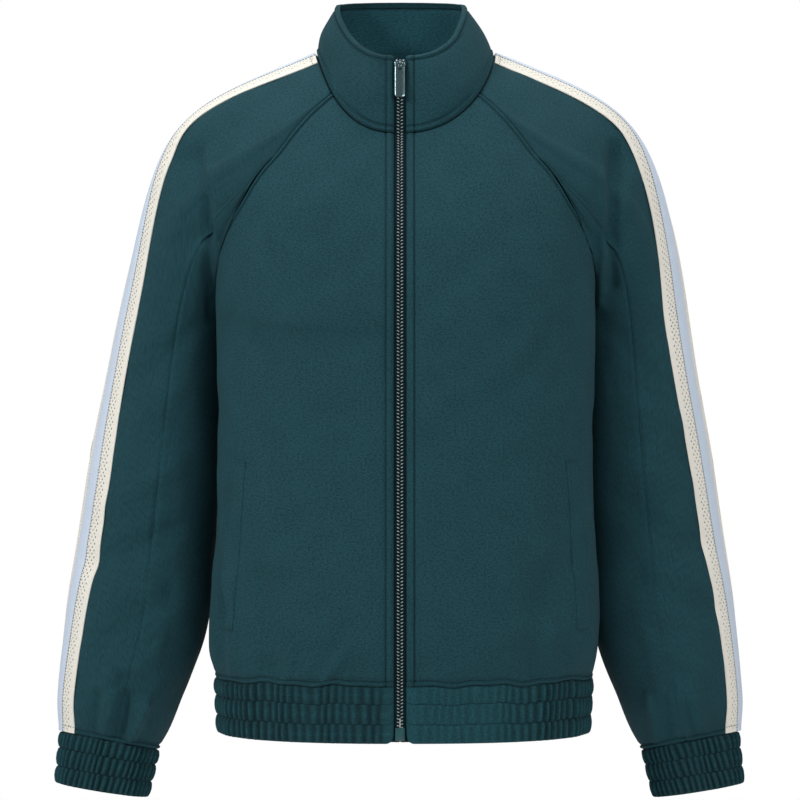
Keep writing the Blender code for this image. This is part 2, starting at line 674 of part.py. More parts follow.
def make_hem():
    front = even_turns(0, SIDE_TURN, 2 * HEM_FRONT_GATHERS + 1)
    back = even_turns(SIDE_TURN, 180, HEM_BACK_GATHERS + 1)
    low = np.array((HEM_NARROWING, HEM_NARROWING, 1.0))
    for side in (-1, 1):
        ring = trunk_point(front, np.full_like(front, HEM_SEAM))
        bottom = ring * low - np.array((0, 0, HEM_DROP))
        if side < 0:
            ring, bottom = (mirrored(row[None])[0] for row in (ring, bottom))
        edges = ("first", "last") if side > 0 else ("last", "first")
        make_band(f"hem_front_{side_name(side)}", lean(ring), lean(bottom), False,
                  {edges[0]: FRONT_EDGE, edges[1]: HALF_GAP}, len(front))
    half = trunk_point(back, np.full_like(back, HEM_SEAM))
    ring = np.concatenate([half, mirrored(half[None])[0][1:]])
    bottom = ring * low - np.array((0, 0, HEM_DROP))
    make_band("hem_back", lean(ring), lean(bottom), False, {"first": HALF_GAP, "last": HALF_GAP}, len(ring))


def make_cuff(side):
    angles = np.linspace(360, 0, 2 * CUFF_GATHERS + 1)[:-1]
    top = arm_point(angles, np.full_like(angles, 1.0))
    bottom = arm_point(angles, np.full_like(angles, CUFF_END))
    if side < 0:
        top, bottom = (mirrored(row[None])[0] for row in (top, bottom))
    make_band(f"cuff_{side_name(side)}", top, bottom, True, {}, len(angles))


make_collar()
make_hem()
for side in (-1, 1):
    make_cuff(side)


# ---------------------------------------------------------------- side tapes and pocket welts

def strip_on_sleeve(name, side, width, columns, height, thickness, finish):
    """A ribbon down the middle of the sleeve's outer side, moved out from it by this height."""
    rows = sleeve_rows()[:, None]
    around = np.linspace(-0.45, 0.45, 181)
    fine = sleeve_point(around[None, :], rows)
    steps = np.linalg.norm(np.diff(fine, axis=1), axis=-1)
    length = np.concatenate([np.zeros_like(rows), np.cumsum(steps, axis=1)], axis=1)
    length -= length[:, [len(around) // 2]]
    away = STRIPE(side_name(side), rows) + np.linspace(width / 2, -width / 2, columns + 1)
    places = [np.interp(wanted, row, around) for wanted, row in zip(away, length)]
    grid = sleeve_point(np.array(places), rows)
    if side < 0:
        grid = mirrored(grid)
    grid = lean(grid, rows)
    mirror = np.array((side, 1, 1))
    normals = shared_normals({"strip": grid})["strip"]
    grid = folded(grid * mirror, normals * mirror, "sleeve", side, cuff_share(rows)) * mirror
    normals = shared_normals({"strip": grid})["strip"]
    inner = grid + normals * height
    outer = inner + normals * thickness
    ends = {"top": STRIP_START, "bottom": STRIP_END}
    wall(name, trim(outer, **ends), trim(inner, **ends), finish, slant=(1, -1))


def body_point(x, z):
    """The point of the body's front, below the underarm, that shows at this place from the front."""
    heights = TRUNK.columns["z_side"][::-1]
    level = np.interp(z, heights, TRUNK.keys[::-1])
    turns = np.linspace(0, 90, 400)
    turn = np.empty_like(x)
    for place in np.ndindex(x.shape):
        across = trunk_point(turns, np.full_like(turns, level[place]))[:, 0]
        turn[place] = np.interp(x[place], across, turns)
    return trunk_point(turn, level)


def make_pocket(side):
    heights = np.linspace(POCKET.keys[-1], POCKET.keys[0], POCKET_ROWS)
    near, far = POCKET("near", heights), POCKET("far", heights)
    edges = [near, (near + far) / 2, far]
    grid = body_point(np.stack(edges, 1), np.repeat(heights[:, None], 3, axis=1))
    if side < 0:
        grid = mirrored(grid)
    grid = lean(grid)
    mirror = np.array((side, 1, 1))
    normals = shared_normals({"welt": grid})["welt"]
    grid = folded(grid * mirror, normals * mirror, "body", side, 1.0) * mirror
    inner = grid + normals * LIFT
    wall(f"pocket_welt_{side_name(side)}", inner + normals * POCKET_THICKNESS, inner, KNIT, slant=(side,))


for side in (-1, 1):
    word = side_name(side)
    strip_on_sleeve(f"side_tape_{word}", side, TAPE_WIDTH, 6, LIFT, TAPE_THICKNESS, EYELET)
    strip_on_sleeve(f"side_satin_{word}", side, SATIN_WIDTH, 2, LIFT + TAPE_THICKNESS + SEAM_GAP,
                    SATIN_THICKNESS, SATIN)
    make_pocket(side)


# ---------------------------------------------------------------- zip

def across_to(points, x):
    """The point of a row, which runs away from the centre front, that lies at this distance from it."""
    return np.array([x, np.interp(x, points[:, 0], points[:, 1]), np.interp(x, points[:, 0], points[:, 2])])


def line_beside_zip(x):
    """Points of the outer face at this distance from the centre front, from the collar's top to the hem."""
    turns = np.linspace(0, 40, 81)
    ups, levels = np.linspace(1, 0, COLLAR_ROWS + 1), level_rows()[2][1:]
    collar = [across_to(collar_point(turns, np.full_like(turns, up)), x) for up in ups]
    body = [across_to(trunk_point(turns, np.full_like(turns, level)), x) for level in levels]
    hem = body[-1] * np.array((1, HEM_NARROWING, 1)) - np.array((0, 0, HEM_DROP))
    return np.array(collar + body + [hem])


def along_zip(lines, depth, thickness):
    """The outer and inner grids of a strip between two lines that follow the zip."""
    across = np.array((1.0, 0, 0))
    out = [np.cross(unit(np.gradient(line, axis=0)), across) for line in lines]
    outer = np.stack([line - normal * depth for line, normal in zip(lines, out)], 1)
    return outer, outer - np.stack(out, 1) * thickness


def between(line, top, bottom):
    """The part of a line that runs down between these two heights."""
    ends = [[np.interp(z, line[::-1, 2], line[::-1, k]) for k in range(3)] for z in (top, bottom)]
    inside = line[(line[:, 2] < top - 0.001) & (line[:, 2] > bottom + 0.001)]
    return np.concatenate([ends[:1], inside, ends[1:]])


def prism(name, outline, thickness, finish, collection=JACKET):
    """A flat outline in X and Y, made this thick in Z and centred on it."""
    curve = bpy.data.curves.new(name, "CURVE")
    curve.dimensions, curve.fill_mode, curve.extrude = "2D", "BOTH", thickness / 2
    for loop in outline:
        spline = curve.splines.new("POLY")
        spline.points.add(len(loop) - 1)
        spline.use_cyclic_u = True
        for point, (x, y) in zip(spline.points, loop):
            point.co = (x, y, 0, 1)
    drawn = bpy.data.objects.new(name, curve)
    collection.objects.link(drawn)
    bpy.context.view_layer.update()
    mesh = bpy.data.meshes.new_from_object(drawn.evaluated_get(bpy.context.evaluated_depsgraph_get()))
    bpy.data.objects.remove(drawn)
    bm = bmesh.new()
    bm.from_mesh(mesh)
    bmesh.ops.remove_doubles(bm, verts=bm.verts, dist=1e-5)
    bmesh.ops.recalc_face_normals(bm, faces=bm.faces)
    bm.to_mesh(mesh)
    bm.free()
    mesh.materials.clear()
    mesh.materials.append(finish)
    made = bpy.data.objects.new(name, mesh)
    collection.objects.link(made)
    return made


def rounded(width, top, bottom, radius, steps=3):
    """A rectangle with round corners, from the top to the bottom of its Y."""
    loop = []
    corners = ((1, top, 0), (-1, top, 90), (-1, bottom, 180), (1, bottom, 270))
    for side, edge, start in corners:
        inwards = -radius if edge == top else radius
        for step in range(steps + 1):
            angle = math.radians(start + 90 * step / steps)
            x = side * (width / 2 - radius) + radius * math.cos(angle)
            loop.append((x, edge + inwards + radius * math.sin(angle)))
    return loop


def zip_strip(name, half_width, top, bottom, depth, thickness, finish):
    """A strip over the middle of the zip, between two heights."""
    line = between(line_beside_zip(0.0), top, bottom)
    lines = [line + np.array((x, 0, 0)) for x in (-half_width, half_width)]
    return wall(name, *along_zip(lines, depth, thickness), finish)


def make_zip():
    middle, beside = line_beside_zip(HALF_GAP), line_beside_zip(ZIP_TAPE_WIDTH)
    top, bottom = middle[0, 2] - ZIP_END, middle[-1, 2] + ZIP_END
    for side in (-1, 1):
        lines = [between(line, top, bottom) * np.array((side, 1, 1)) for line in (middle, beside)][::side]
        outer, inner = along_zip(lines, ZIP_TAPE_DEPTH, ZIP_TAPE_THICKNESS)
        wall(f"zip_tape_{side_name(side)}", outer, inner, ZIP_CLOTH)
    zip_strip("zip_chain", CHAIN_WIDTH / 2, top - ZIP_END, BOX_TOP + SEAM_GAP,
              CHAIN_DEPTH, CHAIN_THICKNESS, ZIP_CLOTH)
    box_depth = ZIP_TAPE_DEPTH - SEAM_GAP - BOX_THICKNESS
    box = zip_strip("zip_box", BOX_WIDTH / 2, BOX_TOP, BOX_BOTTOM, box_depth, BOX_THICKNESS, ZIP_PLASTIC)
    soften(box, 0.0009, 2)


def soften(made, width, segments):
    bevel = made.modifiers.new("Round the edges", "BEVEL")
    bevel.width, bevel.segments = width, segments
    bevel.limit_method, bevel.angle_limit = "ANGLE", math.radians(40)


def slider_frame():
    """Where the slider's middle touches the zip, and the turn about X that lays it along the zip."""
    up = np.array((SLIDER_UP - 0.02, SLIDER_UP, SLIDER_UP + 0.02))
    low, middle, high = collar_point(np.zeros_like(up), up)
    rise = high - low
    return Vector(middle), math.pi / 2 - math.atan2(rise[1], rise[2])


def slider_outline():
    """The crown is a wide V at the top, and the tail is narrow."""
    half, end = SLIDER_WIDTH / 2, SLIDER_LENGTH / 2
    right = [(0.0, end - 0.0012), (half * 0.45, end), (half * 0.92, end - 0.0006), (half, end - 0.0030),
             (half * 0.92, end - 0.0065), (half * 0.62, -end + 0.0055), (half * 0.60, -end + 0.0012),
             (half * 0.45, -end)]
    return right[::-1] + [(-x, y) for x, y in right[1:]]


def bridge_outline():
    """The bridge from the side: a bar on two legs that stand in the plate."""
    span, room, bar = BRIDGE_SPAN / 2, BRIDGE_ROOM, BRIDGE_BAR
    foot = -SLIDER_THICKNESS / 2
    right = [(span - BRIDGE_CORNER, room), (span, room * 0.75), (span, foot), (span + bar, foot),
             (span + bar, room), (span, room + bar)]
    return [(-x, y) for x, y in right] + right[::-1]


def make_slider():
    """The slider lies on the chain. Its tab hangs from the bridge, on the hinge's axis."""
    middle, turn = slider_frame()
    frame = bpy.data.objects.new("slider_frame", None)
    JACKET.objects.link(frame)
    frame.location, frame.rotation_euler = middle, (turn, 0, 0)
    plate = prism("zip_slider", [slider_outline()], SLIDER_THICKNESS, STEEL)
    plate.parent, plate.location = frame, (0, 0, SLIDER_LIFT + SLIDER_THICKNESS / 2)
    bridge = prism("slider_bridge", [bridge_outline()], BRIDGE_WIDTH, STEEL, HELPERS)
    bridge.parent, bridge.hide_render, bridge.display_type = frame, True, "WIRE"
    bridge.rotation_euler = (math.pi / 2, 0, math.pi / 2)
    bridge.location = (0, BRIDGE_UP, SLIDER_LIFT + SLIDER_THICKNESS)
    join = plate.modifiers.new("Bridge", "BOOLEAN")
    join.operation, join.object, join.solver = "UNION", bridge, "MANIFOLD"
    bar = TAB_EYE_BAR
    body = rounded(TAB_WIDTH, bar / 2, bar / 2 - TAB_LENGTH, 0.0014)
    eye = rounded(TAB_EYE_WIDTH, -bar / 2, -bar / 2 - TAB_EYE_LENGTH, 0.0008)[::-1]
    tab = prism("pull_tab", [body, eye], TAB_THICKNESS, STEEL)
    tab.parent = frame
    tab.location = (0, BRIDGE_UP, SLIDER_LIFT + SLIDER_THICKNESS + BRIDGE_ROOM / 2)


make_zip()
make_slider()
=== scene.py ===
"""A raglan track jacket with a full zip, in cloth, thread and metal over the frame's solids.

Metres, +Z up, the front faces -Y and the wearer's left side is +X. The form of the cloth is worked out from
the tables that its solids come from, on finer grids, and gets its creases, seams and stitching here.
"""

import math

import bmesh
import bpy
import numpy as np
from mathutils import Matrix, Vector


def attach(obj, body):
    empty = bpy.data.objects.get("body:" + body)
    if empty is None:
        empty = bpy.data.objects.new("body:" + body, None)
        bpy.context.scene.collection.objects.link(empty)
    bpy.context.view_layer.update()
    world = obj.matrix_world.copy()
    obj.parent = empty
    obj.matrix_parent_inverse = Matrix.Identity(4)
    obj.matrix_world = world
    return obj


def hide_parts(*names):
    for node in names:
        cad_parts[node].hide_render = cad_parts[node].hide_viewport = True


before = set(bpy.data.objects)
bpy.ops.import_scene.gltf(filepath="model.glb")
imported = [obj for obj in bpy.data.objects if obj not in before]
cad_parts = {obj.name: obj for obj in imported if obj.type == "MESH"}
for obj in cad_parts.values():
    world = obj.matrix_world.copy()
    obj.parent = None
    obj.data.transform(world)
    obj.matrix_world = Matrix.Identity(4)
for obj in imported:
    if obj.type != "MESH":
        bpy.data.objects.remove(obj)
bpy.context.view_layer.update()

# ---------------------------------------------------------------- sizes of the solids

CLOTH = 0.0018          # thickness of the double knit
BAND_CLOTH = 0.0026     # hem and cuffs: two layers round an elastic
COLLAR_CLOTH = 0.0028
FRONT_EDGE = 0.0062     # half the space between the two front edges, which the zip fills

HEM_SEAM = 10.0         # levels of the trunk table: neck seam 0, underarm 6, hem seam 10
UNDERARM = 6.0
ACROSS_UNDERARM = 6.15  # level of the centre line beside the underarm
SIDE_TURN = 104.0       # degrees round the body from the centre front to the side seam
RIDGE_TURN = 94.0
NECK_SHARE = 2 / 12     # of the sleeve's top edge, which is sewn to the collar

TAPE_WIDTH = 0.053
SATIN_WIDTH = 0.0190
TAPE_THICKNESS = 0.0010
SATIN_THICKNESS = 0.0009
STRIPE_ANGLE = 28.0     # degrees from the outer side of the arm towards the front
NECK_POINT = 0.35       # how much the neck seam runs to a point in front, down to this level
NECK_POINT_END = 2.0
TRUNK_SQUARE = 2.4      # exponents of the rings: 2 is an ellipse, and more is squarer
ARM_SQUARE = 2.15

HEM_DROP = 0.055
HEM_NARROWING = 0.985
COLLAR_BULGE = 0.004
CUFF_END = 1.12
SHOULDER_RISE = 0.46
SHOULDER_FALL = 0.98
DENT_Y = 0.028
DENT_SPREAD = 0.052
LEAN_FROM = 0.09
HEM_HEIGHT = -0.600
HEM_WAVES = 0.0012      # how far the hem seam wanders up and down, and how far above and below it this shows
HEM_WAVES_REACH = 0.018
HEM_CALM_HALF = 0.06    # the seam's straight part on both sides of the zip

ZIP_TAPE_DEPTH = 0.0031     # of its outer face under the outer face of the cloth
SLIDER_UP = 0.83            # place of the slider's middle on the collar, as a share of its height
SLIDER_LENGTH = 0.019
SLIDER_WIDTH = 0.0112
SLIDER_THICKNESS = 0.0022
SLIDER_LIFT = 0.0004
BRIDGE_WIDTH = 0.0030
BRIDGE_BAR = 0.0012
BRIDGE_ROOM = 0.0030
BRIDGE_SPAN = 0.0040
BRIDGE_UP = 0.0026
TAB_WIDTH = 0.010
TAB_LENGTH = 0.033
TAB_THICKNESS = 0.0017
TAB_EYE_BAR = 0.0017
TAB_EYE_LENGTH = 0.0068
BOX_TOP, BOX_BOTTOM = -0.6393, -0.6518
BOX_WIDTH = 0.0094
BOX_THICKNESS = 0.0036


class Rows:
    """A short table: the first column is the key, and the others are read from it along a smooth curve."""

    def __init__(self, columns, rows):
        data = np.array(sorted(rows), float)
        self.keys = data[:, 0]
        self.columns = dict(zip(columns.split()[1:], data.T[1:]))
        self.slopes = {name: np.gradient(column, self.keys) for name, column in self.columns.items()}

    def __call__(self, name, at):
        keys, values, slopes = self.keys, self.columns[name], self.slopes[name]
        at = np.clip(at, keys[0], keys[-1])
        low = np.clip(np.searchsorted(keys, at) - 1, 0, len(keys) - 2)
        span = keys[low + 1] - keys[low]
        t = (at - keys[low]) / span
        return (
            (1 + 2 * t) * (1 - t) ** 2 * values[low]
            + t * (1 - t) ** 2 * span * slopes[low]
            + t * t * (3 - 2 * t) * values[low + 1]
            + t * t * (t - 1) * span * slopes[low + 1]
        )


# Rings of the body from the neck seam to the hem seam. Heights are given at the centre front, side and back.
TRUNK = Rows("level half_width front back z_front z_side z_back arm_dent", [
    (0, 0.088, 0.080, 0.058, -0.065, 0.020, 0.022, 0.0),
    (1, 0.122, 0.094, 0.082, -0.088, 0.006, -0.004, 0.0),
    (2, 0.152, 0.108, 0.098, -0.120, -0.013, -0.034, 0.0),
    (3, 0.176, 0.120, 0.110, -0.155, -0.046, -0.075, 0.0),
    (4, 0.188, 0.128, 0.118, -0.195, -0.105, -0.130, 0.004),
    (5, 0.193, 0.133, 0.121, -0.235, -0.180, -0.190, 0.012),
    (6, 0.195, 0.135, 0.120, -0.275, -0.250, -0.255, 0.020),
    (7, 0.193, 0.137, 0.118, -0.380, -0.380, -0.380, 0.024),
    (8, 0.195, 0.138, 0.120, -0.500, -0.500, -0.500, 0.010),
    (9, 0.197, 0.135, 0.118, -0.560, -0.560, -0.560, 0.007),
    (10, 0.187, 0.126, 0.111, -0.600, -0.600, -0.600, 0.0),
])

# How far the wearer's left side stands further out than the right one, by height: body and hanging sleeve.
LEAN = Rows("height body arm", [
    (0.080, 0.0010, 0.0010),
    (0.050, 0.0015, 0.0015),
    (0.012, 0.0060, 0.0060),
    (-0.050, 0.0055, 0.0055),
    (-0.190, 0.0058, 0.0058),
    (-0.260, 0.0055, 0.0035),
    (-0.380, 0.0055, 0.0012),
    (-0.500, 0.0050, 0.0005),
    (-0.600, 0.0040, 0.0),
    (-0.720, 0.0040, 0.0),
])

# The top edge of the collar, by the turn round the neck.
COLLAR_TOP = Rows("turn x y z", [
    (0, 0.0, -0.074, 0.010),
    (25, 0.030, -0.068, 0.0165),
    (45, 0.048, -0.050, 0.031),
    (65, 0.059, -0.028, 0.052),
    (90, 0.063, 0.000, 0.069),
    (120, 0.057, 0.026, 0.075),
    (150, 0.033, 0.042, 0.078),
    (180, 0.0, 0.047, 0.079),
])

# The raglan seams, as turns round the body at each level.
RAGLAN_FRONT = Rows("along turn level", [
    (0.0, 53, 0.0),
    (0.18, 51, 1.15),
    (0.38, 52, 2.45),
    (0.56, 58, 3.60),
    (0.72, 69, 4.45),
    (0.84, 79, 5.10),
    (0.93, 90, 5.75),
    (1.0, SIDE_TURN, UNDERARM),
])
RAGLAN_BACK = Rows("along turn level", [
    (0.0, 139, 0.0),
    (0.16, 144, 1.0),
    (0.34, 143, 2.2),
    (0.52, 138, 3.3),
    (0.70, 131, 4.3),
    (0.84, 123, 5.1),
    (0.94, 113, 5.8),
    (1.0, SIDE_TURN, UNDERARM),
])

# Rings of the sleeve from the underarm to the cuff seam, and on down the cuff.
ARM = Rows("down x y z half_width half_depth", [
    (0.0, 0.2335, 0.036, -0.262, 0.0565, 0.074),
    (0.1, 0.2380, 0.036, -0.302, 0.0590, 0.077),
    (0.3, 0.2470, 0.036, -0.385, 0.0660, 0.077),
    (0.5, 0.2560, 0.034, -0.468, 0.0690, 0.073),
    (0.7, 0.2655, 0.028, -0.548, 0.0705, 0.068),
    (0.85, 0.2795, 0.022, -0.610, 0.0620, 0.059),
    (0.94, 0.2867, 0.018, -0.644, 0.0560, 0.049),
    (1.0, 0.2915, 0.015, -0.667, 0.0490, 0.037),
    (1.12, 0.2995, 0.012, -0.7160, 0.0455, 0.0335),
])

# How far the stripe's middle lies in front of the sleeve's joining seam, by the place down each sleeve.
STRIPE = Rows("down right left", [
    (-1.0, 0.004, 0.004),
    (-0.7, -0.002, 0.004),
    (-0.55, -0.005, 0.002),
    (-0.4, -0.001, 0.007),
    (-0.2, 0.002, 0.012),
    (0.1, 0.004, 0.012),
    (0.35, 0.008, 0.008),
    (0.5, 0.006, 0.004),
    (0.75, -0.004, -0.007),
    (1.0, -0.012, -0.012),
])

# Folds, as straight soft troughs (depth under 0) or ridges on the face that looks forwards (face -1) or
# backwards (1), from a high end to a low end, in the view from the front. Side -1 is the wearer's right.
# Columns: part side face x_high z_high x_low z_low depth width. These are in the solids too.
FOLDS = [
    ("sleeve", -1, -1, 0.212, -0.088, 0.203, -0.160, -0.005, 0.014),
    ("sleeve", 1, -1, 0.210, -0.085, 0.202, -0.165, -0.005, 0.014),
    ("sleeve", -1, 1, 0.206, -0.090, 0.202, -0.165, -0.004, 0.015),
    ("sleeve", 1, 1, 0.206, -0.090, 0.202, -0.165, -0.004, 0.015),
    ("sleeve", -1, -1, 0.226, -0.455, 0.300, -0.487, -0.004, 0.012),
    ("sleeve", -1, -1, 0.228, -0.520, 0.296, -0.565, -0.004, 0.013),
    ("sleeve", -1, -1, 0.288, -0.617, 0.300, -0.655, 0.004, 0.007),
    ("sleeve", -1, -1, 0.252, -0.625, 0.270, -0.660, 0.004, 0.008),
    ("sleeve", -1, -1, 0.274, -0.600, 0.287, -0.655, -0.004, 0.007),
    ("sleeve", 1, -1, 0.226, -0.430, 0.290, -0.470, -0.004, 0.013),
    ("sleeve", 1, -1, 0.236, -0.500, 0.304, -0.535, -0.0035, 0.012),
    ("sleeve", 1, -1, 0.290, -0.610, 0.300, -0.655, 0.004, 0.007),
    ("sleeve", 1, -1, 0.262, -0.620, 0.272, -0.660, 0.0035, 0.008),
    ("sleeve", 1, 1, 0.236, -0.400, 0.300, -0.430, -0.004, 0.013),
    ("sleeve", 1, 1, 0.240, -0.500, 0.310, -0.520, -0.005, 0.014),
    ("sleeve", 1, 1, 0.280, -0.600, 0.298, -0.655, 0.004, 0.008),
    ("sleeve", -1, 1, 0.234, -0.415, 0.300, -0.440, -0.004, 0.013),
    ("sleeve", -1, 1, 0.240, -0.515, 0.312, -0.530, -0.005, 0.014),
    ("sleeve", -1, 1, 0.276, -0.595, 0.296, -0.650, 0.004, 0.008),
    ("body", -1, -1, 0.188, -0.420, 0.184, -0.590, 0.005, 0.010),
    ("body", -1, -1, 0.136, -0.500, 0.124, -0.585, -0.005, 0.013),
    ("body", 1, -1, 0.188, -0.430, 0.184, -0.590, 0.004, 0.010),
    ("body", 1, -1, 0.136, -0.500, 0.128, -0.588, -0.004, 0.013),
    ("body", -1, 1, 0.110, -0.300, 0.085, -0.585, -0.006, 0.020),
    ("body", 1, 1, 0.112, -0.320, 0.090, -0.585, -0.006, 0.020),
    ("body", -1, 1, 0.165, -0.360, 0.150, -0.585, 0.005, 0.016),
    ("body", 1, 1, 0.165, -0.340, 0.152, -0.585, 0.005, 0.016),
    ("body", 1, 1, 0.030, -0.400, 0.022, -0.588, -0.004, 0.018),
]

# Smaller creases that only the cloth has, in the same columns.
CREASES = [
    ("sleeve", -1, -1, 0.2000, -0.081, 0.1885, -0.165, -0.0045, 0.0070),
    ("sleeve", -1, -1, 0.1910, -0.130, 0.1860, -0.240, -0.0050, 0.0065),
    ("sleeve", -1, -1, 0.1925, -0.083, 0.1815, -0.165, 0.0028, 0.0045),
    ("sleeve", 1, -1, 0.2150, -0.075, 0.2090, -0.210, -0.0075, 0.0065),
    ("sleeve", 1, -1, 0.2030, -0.078, 0.1990, -0.230, 0.0030, 0.0045),
    ("sleeve", -1, -1, 0.2800, -0.616, 0.2930, -0.663, 0.0060, 0.0050),
    ("sleeve", -1, -1, 0.2520, -0.626, 0.2680, -0.664, 0.0064, 0.0038),
    ("sleeve", -1, -1, 0.2670, -0.618, 0.2770, -0.662, -0.0070, 0.0054),
    ("sleeve", -1, -1, 0.2980, -0.618, 0.3030, -0.662, -0.0045, 0.0055),
    ("sleeve", 1, -1, 0.2470, -0.618, 0.2555, -0.664, 0.0055, 0.0042),
    ("sleeve", 1, -1, 0.2765, -0.626, 0.2860, -0.664, 0.0055, 0.0040),
    ("sleeve", 1, -1, 0.2630, -0.620, 0.2710, -0.664, -0.0065, 0.0052),
    ("body", -1, -1, 0.1800, -0.395, 0.1640, -0.520, 0.0030, 0.0055),
    ("body", -1, -1, 0.1650, -0.500, 0.1630, -0.592, 0.0034, 0.0060),
    ("body", -1, -1, 0.1860, -0.430, 0.1730, -0.530, -0.0040, 0.0060),
    ("body", -1, -1, 0.1740, -0.520, 0.1730, -0.592, -0.0044, 0.0055),
    ("body", 1, -1, 0.1690, -0.500, 0.1660, -0.592, 0.0026, 0.0070),
    ("body", -1, -1, 0.0480, -0.560, 0.0730, -0.597, 0.0030, 0.0042),
    ("body", -1, -1, 0.0600, -0.560, 0.0850, -0.597, -0.0020, 0.0060),
    ("body", -1, -1, 0.1050, -0.565, 0.1120, -0.597, 0.0018, 0.0050),
    ("body", 1, -1, 0.070, -0.560, 0.082, -0.594, 0.0012, 0.0070),
    ("body", 1, -1, 0.160, -0.250, 0.120, -0.300, -0.0020, 0.0120),
    ("body", -1, -1, 0.162, -0.245, 0.125, -0.290, -0.0018, 0.0110),
    ("body", -1, -1, 0.172, -0.300, 0.150, -0.372, 0.0016, 0.0090),
    ("body", 1, -1, 0.174, -0.300, 0.156, -0.365, 0.0018, 0.0090),
    ("body", -1, 1, 0.150, -0.120, 0.060, -0.200, -0.0020, 0.0180),
    ("body", 1, 1, 0.150, -0.130, 0.070, -0.210, -0.0020, 0.0180),
    ("body", -1, 1, 0.060, -0.480, 0.040, -0.590, 0.0024, 0.0120),
    ("body", 1, 1, 0.120, -0.500, 0.105, -0.590, 0.0024, 0.0110),
    ("sleeve", -1, -1, 0.200, -0.250, 0.250, -0.300, -0.0022, 0.0100),
    ("sleeve", 1, -1, 0.200, -0.245, 0.246, -0.296, -0.0022, 0.0100),
    ("sleeve", -1, -1, 0.214, -0.310, 0.262, -0.345, 0.0016, 0.0110),
    ("sleeve", 1, -1, 0.212, -0.320, 0.270, -0.350, 0.0016, 0.0120),
    ("sleeve", -1, -1, 0.222, -0.390, 0.286, -0.430, 0.0018, 0.0120),
    ("sleeve", 1, -1, 0.220, -0.385, 0.280, -0.410, 0.0018, 0.0120),
    ("sleeve", -1, -1, 0.240, -0.575, 0.292, -0.602, 0.0016, 0.0090),
    ("sleeve", 1, -1, 0.240, -0.560, 0.300, -0.590, 0.0018, 0.0090),
    ("sleeve", -1, 1, 0.228, -0.300, 0.286, -0.330, -0.0024, 0.0130),
    ("sleeve", 1, 1, 0.228, -0.310, 0.290, -0.345, -0.0024, 0.0130),
]


# ---------------------------------------------------------------- the form of the jacket

def power(value, square):
    return np.sign(value) * np.abs(value) ** (2 / square)


def unit(vectors):
    return vectors / np.maximum(np.linalg.norm(vectors, axis=-1, keepdims=True), 1e-12)


def smooth(share):
    share = np.clip(share, 0, 1)
    return share * share * (3 - 2 * share)


def trunk_point(turn, level):
    """A point of the body's outer face, on the wearer's left. Turn is in degrees from the centre front."""
    sine, cosine = np.sin(np.radians(turn)), np.cos(np.radians(turn))
    depth = np.where(cosine > 0, TRUNK("front", level), TRUNK("back", level))
    y = -power(cosine, TRUNK_SQUARE) * depth
    dent = TRUNK("arm_dent", level) * np.exp(-(((y - DENT_Y) / DENT_SPREAD) ** 2)) * sine**2
    x = power(sine, TRUNK_SQUARE) * TRUNK("half_width", level) - dent
    end = np.where(cosine > 0, TRUNK("z_front", level), TRUNK("z_back", level))
    side = TRUNK("z_side", level)
    point = 1 + NECK_POINT * np.clip(1 - level / NECK_POINT_END, 0, 1) * (cosine > 0)
    return np.stack([x, y, side + (end - side) * np.abs(cosine) ** point], -1)


def trunk_normal(turn, level):
    round_body = trunk_point(turn + 0.2, level) - trunk_point(turn - 0.2, level)
    low, high = np.minimum(level + 0.02, HEM_SEAM), np.maximum(level - 0.02, 0)
    return unit(np.cross(trunk_point(turn, low) - trunk_point(turn, high), round_body))


def arm_point(angle, down):
    """A point of the sleeve's outer face below the underarm. Angle 0 is its outer side and 90 its front."""
    step = 0.004
    centre = np.stack([ARM(name, down) for name in "xyz"], -1)
    low = np.stack([ARM(name, np.minimum(down + step, CUFF_END)) for name in "xyz"], -1)
    high = np.stack([ARM(name, np.maximum(down - step, 0)) for name in "xyz"], -1)
    axis = unit(low - high)
    forwards = np.array((0.0, -1.0, 0.0)) * np.ones_like(centre)
    outwards = unit(np.cross(forwards, axis))
    forwards = np.cross(axis, outwards)
    across = (power(np.cos(np.radians(angle)), ARM_SQUARE) * ARM("half_width", down))[..., None]
    ahead = (power(np.sin(np.radians(angle)), ARM_SQUARE) * ARM("half_depth", down))[..., None]
    return centre + outwards * across + forwards * ahead


def armhole(around):
    """Turn and level of the sleeve's top edge. 0 is at the neck, on the shoulder; 1 and -1 are the underarm,
    reached along the front and the back raglan seam."""
    front = around >= 0
    share = np.abs(around)
    neck = np.clip(share / NECK_SHARE, 0, 1)
    along = np.clip((share - NECK_SHARE) / (1 - NECK_SHARE), 0, 1)
    corner = np.where(front, RAGLAN_FRONT("turn", 0.0), RAGLAN_BACK("turn", 0.0))
    seam_turn = np.where(front, RAGLAN_FRONT("turn", along), RAGLAN_BACK("turn", along))
    seam_level = np.where(front, RAGLAN_FRONT("level", along), RAGLAN_BACK("level", along))
    on_neck = share < NECK_SHARE
    turn = np.where(on_neck, RIDGE_TURN + (corner - RIDGE_TURN) * neck, seam_turn)
    return turn, np.where(on_neck, 0.0, seam_level)


def arm_angle(around):
    """Degrees round the arm. The stripe's middle is at STRIPE_ANGLE, and the underarm seam is opposite 0."""
    return STRIPE_ANGLE + np.where(around >= 0, 180 - STRIPE_ANGLE, 180 + STRIPE_ANGLE) * around


